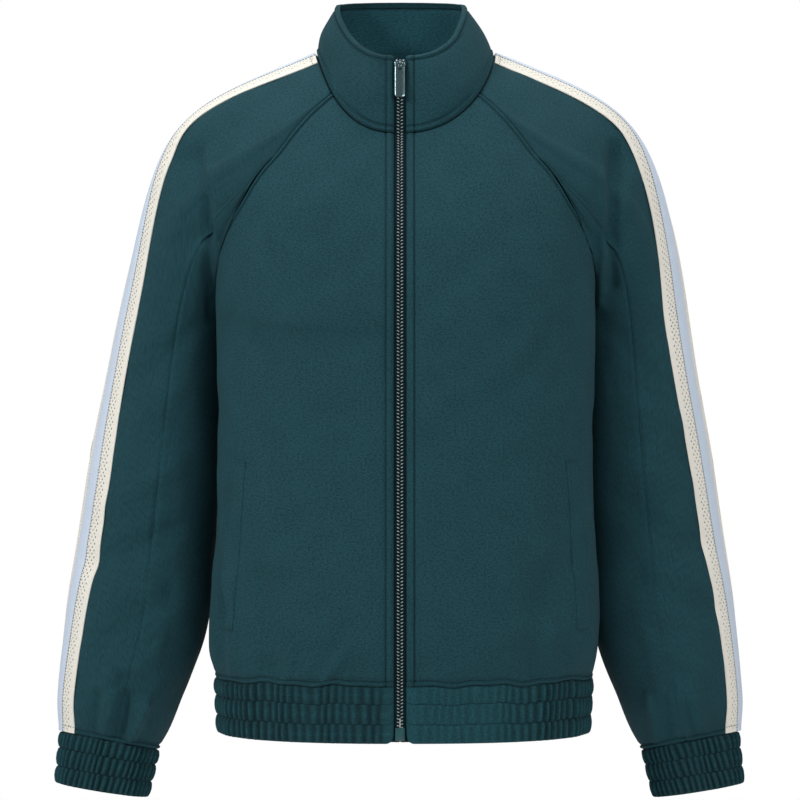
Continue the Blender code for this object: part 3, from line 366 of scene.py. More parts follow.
def sleeve_point(around, down):
    """A point of the sleeve's outer face. Down is -1 at its top, 0 at the underarm and 1 at the cuff seam."""
    around, down = np.broadcast_arrays(np.asarray(around, float), np.asarray(down, float))
    arm = arm_point(arm_angle(around), np.maximum(down, 0))
    turn, level = armhole(around)
    start = trunk_point(turn, level)
    end = arm_point(arm_angle(around), np.zeros_like(down))
    chord = end - start
    length = np.linalg.norm(chord, axis=-1, keepdims=True)
    normal = trunk_normal(turn, level)
    leaving = unit(chord - normal * (chord * normal).sum(-1, keepdims=True))
    arriving = unit(arm_point(arm_angle(around), np.full_like(down, 0.03)) - end)
    outer = (np.cos(np.abs(around) * np.pi / 2) ** 1.5)[..., None]
    rise, fall = (1.0 + SHOULDER_RISE * outer) * length, (1.0 + SHOULDER_FALL * outer) * length
    t = np.clip(down + 1, 0, 1)[..., None]
    shoulder = (
        (1 + 2 * t) * (1 - t) ** 2 * start
        + t * (1 - t) ** 2 * rise * leaving
        + t * t * (3 - 2 * t) * end
        + t * t * (t - 1) * fall * arriving
    )
    return np.where((down < 0)[..., None], shoulder, arm)


def collar_point(turn, up):
    """A point of the collar's outer face, from the neck seam (0) to its top edge (1)."""
    foot = trunk_point(turn, np.zeros_like(turn))
    top = np.stack([COLLAR_TOP(name, turn) for name in "xyz"], -1)
    up = np.asarray(up, float)[..., None]
    bulge = COLLAR_BULGE * np.sin(np.pi * up) * unit(foot * np.array((1, 1, 0)))
    return foot + (top - foot) * up + bulge


def lean(points, down=-1.0):
    """The points moved towards the wearer's left, and the hem seam's waves. Down is the place on the sleeve:
    its top edge moves with the body, and the hanging arm moves less."""
    body, arm = LEAN("body", points[..., 2]), LEAN("arm", points[..., 2])
    moved = points.copy()
    aside = np.abs(points[..., 0])
    moved[..., 0] += (body + (arm - body) * smooth(down + 1)) * smooth(aside / LEAN_FROM)
    waves = np.sin(88 * points[..., 0] + 0.5) + 0.6 * np.sin(190 * points[..., 0] + 2.0)
    near_hem = np.exp(-(((points[..., 2] - HEM_HEIGHT) / HEM_WAVES_REACH) ** 2))
    near_hem = near_hem * smooth(aside / HEM_CALM_HALF)
    moved[..., 2] += HEM_WAVES * waves * near_hem
    return moved


def folded(points, normals, part, side, share):
    """The points moved along their normals by the folds of this part and side, each by its share of them."""
    mirror = np.array((side, 1, 1))
    points, normals = points * mirror, normals * mirror
    moved = np.zeros(points.shape[:-1])
    for name, on, face, x_high, z_high, x_low, z_low, depth, width in FOLDS + CREASES:
        if (name, on) != (part, side):
            continue
        start, run = np.array((x_high, z_high)), np.array((x_low - x_high, z_low - z_high))
        flat = points[..., [0, 2]] - start
        t = np.clip(flat @ run / (run @ run), 0, 1)
        away = np.linalg.norm(flat - t[..., None] * run, axis=-1)
        facing = np.clip(normals[..., 1] * face * 1.6, 0, 1)
        moved += depth * np.exp(-((away / width) ** 2)) * facing
    return (points + normals * (moved * share)[..., None]) * mirror


def hem_share(level):
    """Folds of the body die out into the hem seam."""
    return np.clip((HEM_SEAM - level) / 0.25, 0, 1)


def cuff_share(down):
    """Folds of the sleeve die out into the armhole and the cuff seam."""
    return np.clip((down + 1) / 0.25, 0, 1) * np.clip((1 - down) / 0.025, 0, 1)


# ---------------------------------------------------------------- nodes

class Socket:
    """An output of a node. Arithmetic on it adds Math nodes to its tree."""

    def __init__(self, nodes, output):
        self.nodes, self.output = nodes, output

    def twin(self, name):
        """Another output of the same node."""
        return Socket(self.nodes, self.output.node.outputs[name])

    def math(self, operation, *values):
        return self.nodes.add("ShaderNodeMath", {"operation": operation}, dict(enumerate(values)))

    def __add__(self, other):
        return self.math("ADD", self, other)

    def __sub__(self, other):
        return self.math("SUBTRACT", self, other)

    def __rsub__(self, other):
        return self.math("SUBTRACT", other, self)

    def __mul__(self, other):
        return self.math("MULTIPLY", self, other)

    def __truediv__(self, other):
        return self.math("DIVIDE", self, other)

    __radd__ = __add__
    __rmul__ = __mul__

    def wave(self, length):
        """A wave from -1 to 1 with this length."""
        return self.math("COSINE", self * (2 * math.pi / length))

    def triangle(self, length):
        """0 in the middle of each length and 0.5 at its ends."""
        share = self.math("FRACT", self / length)
        return self.math("ABSOLUTE", share - 0.5)


class Nodes:
    """A node tree, of a material or of geometry."""

    def __init__(self, tree):
        self.tree = tree

    def add(self, kind, settings=None, sockets=None, out=0):
        node = self.tree.nodes.new(kind)
        for name, value in (settings or {}).items():
            setattr(node, name, value)
        for name, value in (sockets or {}).items():
            if isinstance(value, Socket):
                self.tree.links.new(value.output, node.inputs[name])
            else:
                node.inputs[name].default_value = value
        return Socket(self, node.outputs[out]) if node.outputs else None


class Finish(Nodes):
    """A material on the Principled shader."""

    def __init__(self, name, **constants):
        self.material = bpy.data.materials.new(name)
        self.material.use_nodes = True
        super().__init__(self.material.node_tree)
        self.shader = self.tree.nodes["Principled BSDF"]
        for socket, value in constants.items():
            self.shader.inputs[socket.replace("_", " ").title().replace("Ior", "IOR")].default_value = value

    def feed(self, name, value):
        self.tree.links.new(value.output, self.shader.inputs[name])

    def blend(self, factor, low, high):
        """The low colour where the factor is 0, and the high one where it is 1."""
        return self.add("ShaderNodeMix", {"data_type": "RGBA"}, {0: factor, 6: low, 7: high}, out=2)

    def place(self):
        """Object coordinates, in metres."""
        return self.add("ShaderNodeTexCoord", out="Object")

    def noise(self, scale, detail=2.0, vector=None):
        sockets = {"Vector": vector or self.place(), "Scale": scale, "Detail": detail}
        return self.add("ShaderNodeTexNoise", {}, sockets, out="Fac")

    def across_and_along(self):
        """Metres across the piece and down it, from its UV map."""
        cut = self.add("ShaderNodeSeparateXYZ", {}, {0: self.add("ShaderNodeUVMap", {"uv_map": "cloth"})})
        return cut, cut.twin("Y")

    def bump(self, height, distance, strength=1.0):
        sockets = {"Height": height, "Distance": distance, "Strength": strength}
        self.feed("Normal", self.add("ShaderNodeBump", {}, sockets, out="Normal"))


def tinted(colour, by):
    return tuple(channel * by for channel in colour) + (1.0,)


def knit_finish(name, colour, shade=None, low=1.0, high=1.0, wale=0.0011, course=0.0009):
    """A double knit: fine wales down the piece, each of small slanted stitches, with a little fuzz. Where the
    attribute named by shade is 0, the colour is multiplied by low, and by high where it is 1: this paints
    light and shade into the colour."""
    finish = Finish(name, roughness=0.85, sheen_weight=0.05, sheen_roughness=0.4, specular_ior_level=0.16)
    finish.shader.inputs["Sheen Tint"].default_value = (0.55, 0.80, 0.88, 1.0)
    across, along = finish.across_and_along()
    slanted = along + across.triangle(wale) * (course * 1.1)
    loops = across.wave(wale) * 0.5 + slanted.wave(course) * 0.35
    fuzz = finish.noise(2600.0, 3.0)
    cloud = finish.noise(38.0, 3.0)
    rows = finish.add("ShaderNodeCombineXYZ", {}, {0: across * 420.0, 1: along * 640.0})
    grain = finish.noise(1.0, 3.0, rows)
    light = (cloud - 0.5) * 0.3 + (grain - 0.5) * 2.0 + loops * 0.10 + 0.5
    dark, pale = tinted(colour, 0.55), tinted(colour, 1.50)
    if shade:
        place = finish.add("ShaderNodeAttribute", {"attribute_name": shade}, out="Fac")
        dark = finish.blend(place, tinted(dark[:3], low), tinted(dark[:3], high))
        pale = finish.blend(place, tinted(pale[:3], low), tinted(pale[:3], high))
    finish.feed("Base Color", finish.blend(light, dark, pale))
    finish.feed("Roughness", fuzz * 0.16 + 0.74)
    finish.bump(loops * 0.6 + fuzz * 1.2 + grain, 0.00030, 0.9)
    return finish.material


def eyelet_finish():
    """A cream knitted tape: fine chains of loops between its eyelets."""
    cream = (0.95, 0.92, 0.83)
    finish = Finish("cream_eyelet_tape", roughness=0.78, sheen_weight=0.15, sheen_roughness=0.5)
    across, along = finish.across_and_along()
    loops = (along + across.triangle(0.00115) * 0.0008).wave(0.00069) * 0.5 + across.wave(0.00115) * 0.5
    grain = finish.noise(1500.0, 2.0)
    shade = loops * 0.16 + (grain - 0.5) * 0.5 + 0.55
    finish.feed("Base Color", finish.blend(shade, tinted(cream, 0.88), tinted(cream, 1.06)))
    finish.bump(loops + grain * 0.5, 0.00018, 0.8)
    return finish.material


def satin_finish():
    """A light blue ribbon, with a smooth face of fine long floats."""
    blue = (0.62, 0.72, 0.86)
    finish = Finish("light_blue_satin", roughness=0.42, sheen_weight=0.2, specular_ior_level=0.55)
    across, along = finish.across_and_along()
    floats = across.wave(0.00042) * 0.5 + (along + across * 2.0).wave(0.0009) * 0.25
    cloud = finish.noise(120.0, 2.0)
    shade = floats * 0.12 + (cloud - 0.5) * 0.4 + 0.5
    finish.feed("Base Color", finish.blend(shade, tinted(blue, 0.88), tinted(blue, 1.10)))
    finish.bump(floats, 0.00006, 0.5)
    return finish.material


def zip_tape_finish():
    """A dense herringbone tape beside the teeth."""
    dark = (0.004, 0.019, 0.024)
    finish = Finish("woven_zip_tape", roughness=0.85, specular_ior_level=0.12)
    across, along = finish.across_and_along()
    twill = (along + across.triangle(0.0022) * 0.0022).wave(0.0008)
    grain = finish.noise(1800.0, 2.0)
    shade = twill * 0.25 + (grain - 0.5) * 0.6 + 0.5
    finish.feed("Base Color", finish.blend(shade, tinted(dark, 0.6), tinted(dark, 1.9)))
    finish.bump(twill * 0.6 + grain * 0.5, 0.00025, 0.9)
    return finish.material


def thread_finish(name, colour):
    finish = Finish(name, roughness=0.80, specular_ior_level=0.12)
    twist = finish.noise(2600.0, 1.0)
    finish.feed("Base Color", finish.blend(twist, tinted(colour, 0.8), tinted(colour, 1.2)))
    return finish.material


def coil_finish():
    finish = Finish("dark_coil_teeth", roughness=0.30, specular_ior_level=0.6, coat_weight=0.2)
    cloud = finish.noise(700.0, 1.0)
    # Painted highlights: the pale greys stand in for the glints on the dark coil.
    finish.feed("Base Color", finish.blend(cloud, (0.24, 0.30, 0.30, 1), (0.50, 0.55, 0.53, 1)))
    finish.feed("Roughness", cloud * 0.2 + 0.2)
    return finish.material


def plastic_finish():
    finish = Finish("teal_zip_plastic", roughness=0.30, specular_ior_level=0.5, coat_weight=0.2)
    cloud = finish.noise(500.0, 2.0)
    finish.feed("Base Color", finish.blend(cloud, (0.006, 0.056, 0.064, 1), (0.012, 0.085, 0.096, 1)))
    finish.feed("Roughness", cloud * 0.15 + 0.22)
    finish.bump(cloud, 0.0001, 0.3)
    return finish.material


def metal_finish():
    """Polished plating with faint wear: fine scuffs and a few dull patches. Its dark teal base colour is a
    painted reflection of the teal cloth round it.
    """
    finish = Finish("polished_plating", metallic=1.0, coat_weight=0.9, coat_roughness=0.06)
    scuffs = finish.noise(1600.0, 4.0)
    patches = finish.noise(180.0, 2.0)
    # Painted reflection: two dark teals stand in for the teal cloth that the plating reflects, and the
    # patches vary between them.
    finish.feed("Base Color", finish.blend(patches, (0.066, 0.132, 0.148, 1), (0.096, 0.165, 0.182, 1)))
    finish.feed("Roughness", scuffs * 0.12 + patches * 0.10 + 0.06)
    finish.bump(scuffs, 0.00003, 0.35)
    return finish.material


TEAL = (0.0122, 0.0575, 0.0730)
KNIT = knit_finish("teal_double_knit", TEAL)
# Painted shade and light: the bands' colour is multiplied by 0.50 in the gathers' valleys and by 1.34 on
# their crests.
SHIRRED = knit_finish("teal_shirred_elastic", (0.0090, 0.0500, 0.0620), "crest_and_painted_shade", 0.50, 1.34)
# Painted light: the collar's inner face below its inside stitching is 1.7 times lighter, standing in for
# light that falls inside the collar.
COLLAR_KNIT = knit_finish("teal_double_knit_with_pale_inside", TEAL, "inside", 1.0, 1.7)
EYELET = eyelet_finish()
SATIN = satin_finish()
ZIP_TAPE = zip_tape_finish()
COIL = coil_finish()
PLASTIC = plastic_finish()
METAL = metal_finish()
TEAL_THREAD = thread_finish("teal_thread", (0.005, 0.026, 0.033))
CREAM_THREAD = thread_finish("cream_thread", (0.82, 0.77, 0.66))
# Partly painted shade: real stitching along the satin's edges, whose near-black colour also paints the shade
# line at the satin's edge.
DARK_THREAD = thread_finish("dark_thread", (0.020, 0.030, 0.034))


# ---------------------------------------------------------------- meshes

def mark(made, name, values):
    """A number at each point of the piece, which its finish reads."""
    attribute = made.data.attributes.new(name, "FLOAT", "POINT")
    attribute.data.foreach_set("value", values.reshape(-1).astype(np.float32))


def new_piece(name, mesh, finish, sharp=50):
    mesh.materials.clear()
    mesh.materials.append(finish)
    mesh.shade_smooth()
    mesh.set_sharp_from_angle(angle=math.radians(sharp))
    made = bpy.data.objects.new(name, mesh)
    bpy.context.scene.collection.objects.link(made)
    return made


def grid_quads(rows, columns, start, closed, flip):
    """Faces over a grid whose points start at this index. A closed one joins its last column to its first."""
    i, j = np.meshgrid(np.arange(rows - 1), np.arange(columns if closed else columns - 1), indexing="ij")
    k = (j + 1) % columns
    above, below = start + i * columns, start + (i + 1) * columns
    quads = np.stack([above + j, below + j, below + k, above + k], -1).reshape(-1, 4)
    return quads[:, ::-1] if flip else quads


def wall_mesh(name, outer, inner, across, along, closed=False):
    """A closed shell between two grids, with across and along in metres as its UV map."""
    rows, columns = outer.shape[:2]
    base = rows * columns
    j = np.arange(columns if closed else columns - 1)
    k = (j + 1) % columns
    low = base - columns
    top = np.stack([j, k, base + k, base + j], -1)
    bottom = np.stack([low + k, low + j, base + low + j, base + low + k], -1)
    outside = grid_quads(rows, columns, 0, closed, False)
    inside = grid_quads(rows, columns, base, closed, True)
    parts = [outside, inside, top, bottom]
    if not closed:
        a = np.arange(rows - 1) * columns
        b, last = a + columns, columns - 1
        parts.append(np.stack([a, base + a, base + b, b], -1))
        parts.append(np.stack([a + last, b + last, base + b + last, base + a + last], -1))
    faces = np.concatenate(parts)
    points = np.concatenate([outer.reshape(-1, 3), inner.reshape(-1, 3)])
    mesh = bpy.data.meshes.new(name)
    mesh.from_pydata(points.tolist(), [], faces.tolist())
    uv = np.stack([np.tile(across.reshape(-1), 2), np.tile(along.reshape(-1), 2)], -1)[faces]
    if closed:
        round_off = across[0, 1] * columns
        wraps = (faces % columns == 0) & (faces % columns == columns - 1).any(1, keepdims=True)
        uv[..., 0] += wraps * round_off
    mesh.uv_layers.new(name="cloth").data.foreach_set("uv", uv.reshape(-1).astype(np.float32))
    return mesh


def side_name(side):
    return "left" if side > 0 else "right"


def mirrored(grid):
    """The grid on the wearer's right, with its columns turned round so that it still faces out."""
    return grid[:, ::-1] * np.array((-1, 1, 1))


def surface_normals(grid, closed=False):
    """Outward unit normals at the points of a grid whose rows run down."""
    if closed:
        wide = np.concatenate([grid[:, -1:], grid, grid[:, :1]], axis=1)
        return surface_normals(wide)[:, 1:-1]
    return unit(np.cross(np.gradient(grid, axis=0), np.gradient(grid, axis=1)))


def lengths(grid, axis):
    """Length along the rows (1) or the columns (0), from their start."""
    steps = np.linalg.norm(np.diff(grid, axis=axis), axis=-1)
    start = np.zeros_like(steps[:, :1] if axis else steps[:1])
    return np.concatenate([start, np.cumsum(steps, axis=axis)], axis=axis)


def crossing(line, beside):
    """Sine of the angle at which the rows or columns leave an edge of the grid."""
    return np.linalg.norm(np.cross(unit(np.gradient(line, axis=0)), unit(beside - line)), axis=-1)


class Face:
    """The outer face of a piece of cloth, with the distance of every point from each of its four edges."""

    def __init__(self, grid):
        self.grid = grid
        self.across, self.along = lengths(grid, 1), lengths(grid, 0)
        left, right = crossing(grid[:, 0], grid[:, 1]), crossing(grid[:, -1], grid[:, -2])
        top, bottom = crossing(grid[0], grid[1]), crossing(grid[-1], grid[-2])
        self.away = {
            "first": self.across * left[:, None],
            "last": (self.across[:, -1:] - self.across) * right[:, None],
            "top": self.along * top,
            "bottom": (self.along[-1:] - self.along) * bottom,
        }

    def line(self, edge, distance, lift=0.0):
        """The line on the face at this distance from one of its edges."""
        away, grid = self.away[edge], self.grid + surface_normals(self.grid) * lift
        if edge in ("top", "bottom"):
            away, grid = away.T, grid.transpose(1, 0, 2)
        if edge in ("last", "bottom"):
            away, grid = away[:, ::-1], grid[:, ::-1]
        return np.array([[np.interp(distance, a, row[:, k]) for k in range(3)] for a, row in zip(away, grid)])


def edge_steps(*grooves):
    """Distances from an edge at which the grid has a row: close together there and at each stitched line."""
    steps = {0.0, 0.0004, 0.0009, 0.0015, 0.0024}
    for groove in grooves:
        steps |= {groove + away for away in (-0.0012, -0.0007, -0.0003, 0.0, 0.0003, 0.0007, 0.0012)}
    return np.array(sorted(steps))


def spaced(length, first, last, count):
    """Distances along lines of these lengths: fixed ones from both ends, and this many between them."""
    length = np.asarray(length, float)[..., None]
    shape = np.broadcast_shapes(length.shape[:-1] + (1,))
    start = np.broadcast_to(first, shape[:-1] + (len(first),))
    end = length - last[::-1]
    low, high = start[..., -1:], end[..., :1]
    middle = low + (high - low) * np.linspace(0, 1, count + 2)[1:-1]
    return np.concatenate([start, middle, end], -1)


ROLL = 0.0013           # how far a sewn edge turns in, and over what distance
ROLL_REACH = 0.0008
SEAM_RISE = 0.0009      # of the allowance under a topstitched seam
GROOVE_DEPTH = 0.0020
GROOVE_WIDTH = 0.0008


def sewn(away, groove=None):
    """How far the cloth stands out at this distance from a sewn edge, with a line of topstitching if any."""
    height = -ROLL * np.exp(-((away / ROLL_REACH) ** 2))
    if groove:
        allowance = smooth((away - 0.0008) / 0.0016) * (1 - smooth((away - groove + 0.0002) / 0.0012))
        height += SEAM_RISE * allowance - GROOVE_DEPTH * np.exp(-(((away - groove) / GROOVE_WIDTH) ** 2))
    return height


def puckers(along, away, reach=0.007):
    """Small waves where the thread draws a seam together, uneven along it."""
    waves = np.sin(along * 930 + 1.7 * np.sin(along * 210)) + 0.6 * np.sin(along * 1490 + 2.0)
    return 0.00011 * waves * np.exp(-((away / reach) ** 2))


def rumple(points):
    """Soft unevenness of cloth that hangs, different on the two sides."""
    x, y, z = points[..., 0], points[..., 1], points[..., 2]
    return (
        0.00055 * np.sin(61 * x + 33 * z + 19 * y + 0.7)
        + 0.00045 * np.sin(-47 * x + 71 * z + 1.9 + 1.3 * np.sin(21 * z))
        + 0.00030 * np.sin(118 * x + 57 * z + 40 * y + 2.6)
        + 0.00022 * np.sin(-97 * x + 141 * z - 60 * y + 0.4)
    )


THREADS = {"teal": [], "cream": [], "dark": []}


def dress(made, slot, *nodes, body="jacket"):
    """The piece rides on this body and stands for these solids, which it hides. Its slot is not used."""
    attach(made, body)
    if nodes:
        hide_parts(*nodes)
    return made


def declare_cloth(face, closed=False):
    """Works out the sheet's width, the length of its longest row, and does nothing further with it."""
    grid = face.grid
    width = face.across.max() + (np.linalg.norm(grid[0, 0] - grid[0, -1]) if closed else 0)


def cloth_piece(node, what, face, inner, finish, slot, closed=False):
    """The piece in place of this node's solid, named for the node and for what it is."""
    name = f"{node}_{what}"
    mesh = wall_mesh(name, face.grid, inner, face.across, face.along, closed)
    made = dress(new_piece(name, mesh, finish), slot, node)
    declare_cloth(face, closed)
    return made


def tailored(grid, part, side, share, thickness, sewn_edges):
    """The outer face and the inner grid of a panel, with its folds, its unevenness and its sewn edges. Sewn
    edges give each edge's line of topstitching, or None for a plain seam."""
    base = folded(grid, surface_normals(grid), part, side, share) if part else grid
    normals = surface_normals(base)
    face = Face(base)
    height = rumple(base) * smooth(np.min(list(face.away.values()), axis=0) / 0.03)
    for edge, groove in sewn_edges.items():
        along = face.along if edge in ("first", "last") else face.across
        height = height + sewn(face.away[edge], groove)
        if groove:
            height = height + puckers(along, face.away[edge])
    inner = base - normals * thickness
    return Face(base + normals * height[..., None]), inner


# ---------------------------------------------------------------- body and sleeves

PLACKET_GROOVE = 0.0073     # topstitching from the front edge, 13.5 mm from the centre front
RAGLAN_GROOVE = 0.0045      # and from the other sewn edges
HEM_GROOVE = 0.0048
NECK_GROOVE = 0.0064
COLLAR_GROOVE = 0.0054
COLLAR_INSIDE_LINE = 0.0062     # stitching from the collar's top edge, on its inner face
COLLAR_HEIGHT = 0.066
ARMHOLE_ROWS_BELOW = 0.02       # levels under the underarm down to which the raglan stitching runs
FINE = 181                      # steps in which a row is measured before its columns are placed


def panel_levels(seam_table, row):
    """Turn and level of the panel's side, and level of its centre line. Row is 0 to 1 along the raglan seam
    and 1 to 2 along the side seam."""
    raglan, side = np.minimum(row, 1), np.maximum(row - 1, 0)
    level = np.where(row < 1, seam_table("level", raglan), UNDERARM + side * (HEM_SEAM - UNDERARM))
    middle = np.where(row < 1, row * ACROSS_UNDERARM, ACROSS_UNDERARM + side * (HEM_SEAM - ACROSS_UNDERARM))
    return seam_table("turn", raglan), level, middle


def half_panel(seam_table, centre_turn, start, start_steps, columns, rows):
    """Points and levels of half a panel, from this distance beside its centre line to its seams."""
    fine = np.linspace(0, 2, 401)
    seam_turn, seam_level, middle = panel_levels(seam_table, fine)
    halfway = trunk_point((seam_turn + centre_turn) / 2, (seam_level + middle) / 2)
    length = np.concatenate([[0], np.cumsum(np.linalg.norm(np.diff(halfway, axis=0), axis=-1))])
    row = np.interp(spaced(length[-1], edge_steps(), edge_steps(HEM_GROOVE), rows), length, fine)
    seam_turn, seam_level, middle = (value[:, None] for value in panel_levels(seam_table, row))
    u = np.linspace(0, 1, FINE)[None, :]
    wide = trunk_point(centre_turn + (seam_turn - centre_turn) * u, middle + (seam_level - middle) * u)
    length = lengths(wide, 1)
    wanted = start + spaced(length[:, -1] - start, start_steps, edge_steps(RAGLAN_GROOVE), columns)
    u = np.array([np.interp(want, row_length, u[0]) for want, row_length in zip(wanted, length)])
    level = middle + (seam_level - middle) * u
    return trunk_point(centre_turn + (seam_turn - centre_turn) * u, level), level


def make_fronts():
    grid, level = half_panel(RAGLAN_FRONT, 0.0, FRONT_EDGE, edge_steps(PLACKET_GROOVE), 84, 132)
    for side in (-1, 1):
        place = lean(grid if side > 0 else mirrored(grid))
        share = hem_share(level if side > 0 else level[:, ::-1])
        zip_edge, seam_edge = ("first", "last") if side > 0 else ("last", "first")
        edges = {zip_edge: PLACKET_GROOVE, seam_edge: RAGLAN_GROOVE, "top": None, "bottom": HEM_GROOVE}
        face, inner = tailored(place, "body", side, share, CLOTH, edges)
        word = side_name(side)
        cloth_piece(f"front_{word}", "cloth", face, inner, KNIT, "knit")
        raglan = face.line(seam_edge, RAGLAN_GROOVE, 0.0001)
        armhole_rows = level[:, -1] < UNDERARM + ARMHOLE_ROWS_BELOW
        THREADS["teal"] += [face.line(zip_edge, PLACKET_GROOVE, 0.0001), raglan[armhole_rows]]
        THREADS["teal"].append(face.line("bottom", HEM_GROOVE, 0.0001))


def make_back():
    half, level = half_panel(RAGLAN_BACK, 180.0, 0.0, np.array((0.0, 0.004)), 48, 112)
    left = half[:, ::-1]
    grid = np.concatenate([left, mirrored(left)[:, 1:]], axis=1)
    levels = np.concatenate([level[:, ::-1], level[:, 1:]], axis=1)
    grid = lean(grid)
    normals = surface_normals(grid)
    one = folded(grid, normals, "body", 1, hem_share(levels) * (grid[..., 0] > 0))
    base = folded(one, normals, "body", -1, hem_share(levels) * (grid[..., 0] <= 0))
    edges = {"first": RAGLAN_GROOVE, "last": RAGLAN_GROOVE, "top": None, "bottom": HEM_GROOVE}
    face, inner = tailored(base, None, 1, 1.0, CLOTH, edges)
    cloth_piece("back", "cloth", face, inner, KNIT, "knit")
    armhole_rows = level[:, -1] < UNDERARM + ARMHOLE_ROWS_BELOW
    for edge in ("first", "last"):
        THREADS["teal"].append(face.line(edge, RAGLAN_GROOVE, 0.0001)[armhole_rows])
    THREADS["teal"].append(face.line("bottom", HEM_GROOVE, 0.0001))


SHOULDER_ROWS = 74
SLEEVE_ROWS = 86
SLEEVE_COLUMNS = {"front": 76, "back": 48}
ARM_TURN_LENGTH = 0.22      # about the length of cloth from the stripe's middle round to the underarm


def sleeve_downs(around):
    """Places down the sleeve, row by row, for each of these columns."""
    shoulder, arm = np.linspace(-1, 0, 90)[:, None], np.linspace(0, 1, 120)
    length = lengths(sleeve_point(around[None, :], shoulder), 0)
    wanted = spaced(length[-1], edge_steps(), np.array((0.0,)), SHOULDER_ROWS)
    high = np.array([np.interp(want, row, shoulder[:, 0]) for want, row in zip(wanted, length.T)]).T
    length = lengths(sleeve_point(np.full((1, 1), 0.5), arm[:, None]), 0)[:, 0]
    low = np.interp(spaced(length[-1], np.array((0.0,)), edge_steps(HEM_GROOVE), SLEEVE_ROWS), length, arm)
    return np.concatenate([high, np.repeat(low[1:, None], len(around), axis=1)])


def make_sleeves():
    steps = edge_steps() / ARM_TURN_LENGTH
    for face_name, columns in SLEEVE_COLUMNS.items():
        inward = spaced(1.0, steps, steps, columns)
        around = 1 - inward if face_name == "front" else -inward
        down = sleeve_downs(around)
        grid = sleeve_point(around[None, :], down)
        for side in (-1, 1):
            downs = down if side > 0 else down[:, ::-1]
            place = lean(grid if side > 0 else mirrored(grid), downs)
            edges = {"first": None, "last": None, "top": None, "bottom": HEM_GROOVE}
            face, inner = tailored(place, "sleeve", side, cuff_share(downs), CLOTH, edges)
            word = side_name(side)
            cloth_piece(f"sleeve_{word}_{face_name}", "cloth", face, inner, KNIT, "knit")
            THREADS["teal"].append(face.line("bottom", HEM_GROOVE, 0.0001))


def make_collar():
    upper_steps = edge_steps(COLLAR_GROOVE) / COLLAR_HEIGHT
    lower_steps = edge_steps(NECK_GROOVE) / COLLAR_HEIGHT
    ups = 1 - spaced(1.0, upper_steps, lower_steps, 16)
    turns = np.linspace(0, 180, 361)
    wide = collar_point(turns[None, :] + 0 * ups[:, None], ups[:, None] + 0 * turns[None, :])
    length = lengths(wide, 1)
    wanted = FRONT_EDGE + spaced(length[:, -1] - FRONT_EDGE, edge_steps(PLACKET_GROOVE), np.array((0.0,)), 62)
    turn = np.array([np.interp(want, row, turns) for want, row in zip(wanted, length)])
    left = collar_point(turn, np.repeat(ups[:, None], turn.shape[1], axis=1))
    grid = lean(np.concatenate([left, mirrored(left)[:, 1:]], axis=1))
    edges = {"first": PLACKET_GROOVE, "last": PLACKET_GROOVE, "top": COLLAR_GROOVE, "bottom": NECK_GROOVE}
    face, inner = tailored(grid, None, 1, 1.0, COLLAR_CLOTH, edges)
    inside = Face(inner)
    facing = surface_normals(inner)
    line = np.exp(-(((inside.away["top"] - COLLAR_INSIDE_LINE) / GROOVE_WIDTH) ** 2))
    inner = inner + facing * (0.0008 * line)[..., None]
    THREADS["teal"].append(inside.line("top", COLLAR_INSIDE_LINE, 0.0006))
    made = cloth_piece("collar", "cloth", face, inner, COLLAR_KNIT, "knit")
    # Painted light: 1 on the inner face below the inside stitching, where the finish lightens the colour 1.7
    # times.
    within = smooth((inside.away["top"] - COLLAR_INSIDE_LINE) / 0.001)
    mark(made, "inside", np.stack([np.zeros_like(within), within]))
    for edge, groove in edges.items():
        THREADS["teal"].append(face.line(edge, groove, 0.0001))


# ---------------------------------------------------------------- hem and cuffs

HEM_PITCH = 0.0086          # of the gathers
CUFF_PITCH = 0.0064
GATHER_DEPTH = 0.0046
GATHER_SINK = 0.0008        # of the gathers' feet under the base
CHANNEL_LINES = (0.0, 0.31, 0.665, 1.0)     # rows of stitching on a band, as shares of its height
CHANNEL_SHIFTS = (0.0, 0.32, -0.12)         # of the gathers of each channel, in pitches
CUFF_SLANT = 1.1            # pitches by which the gathers run outwards down the cuff
GATHER_DRIFT = (0.14, 0.06, 0.10)   # how unevenly the gathers are spaced, in pitches
CUFF_GATHERS = 0.9          # depth of the cuffs' gathers, as a share of the hem's
HEM_COLUMN = 0.0011         # of the mesh, about an eighth of a gather
CUFF_COLUMN = 0.00085
HEM_CORNER = 0.008          # radius of the hem's bottom corner beside the zip
# How deep the hem's gathers are beside the zip, what is added further out, from where and over what distance:
# they are shallower on the wearer's left (1) than on the right (-1).
HEM_DEPTHS = {-1: (0.72, 0.28, 0.09, 0.07), 1: (0.30, 0.70, 0.08, 0.08)}


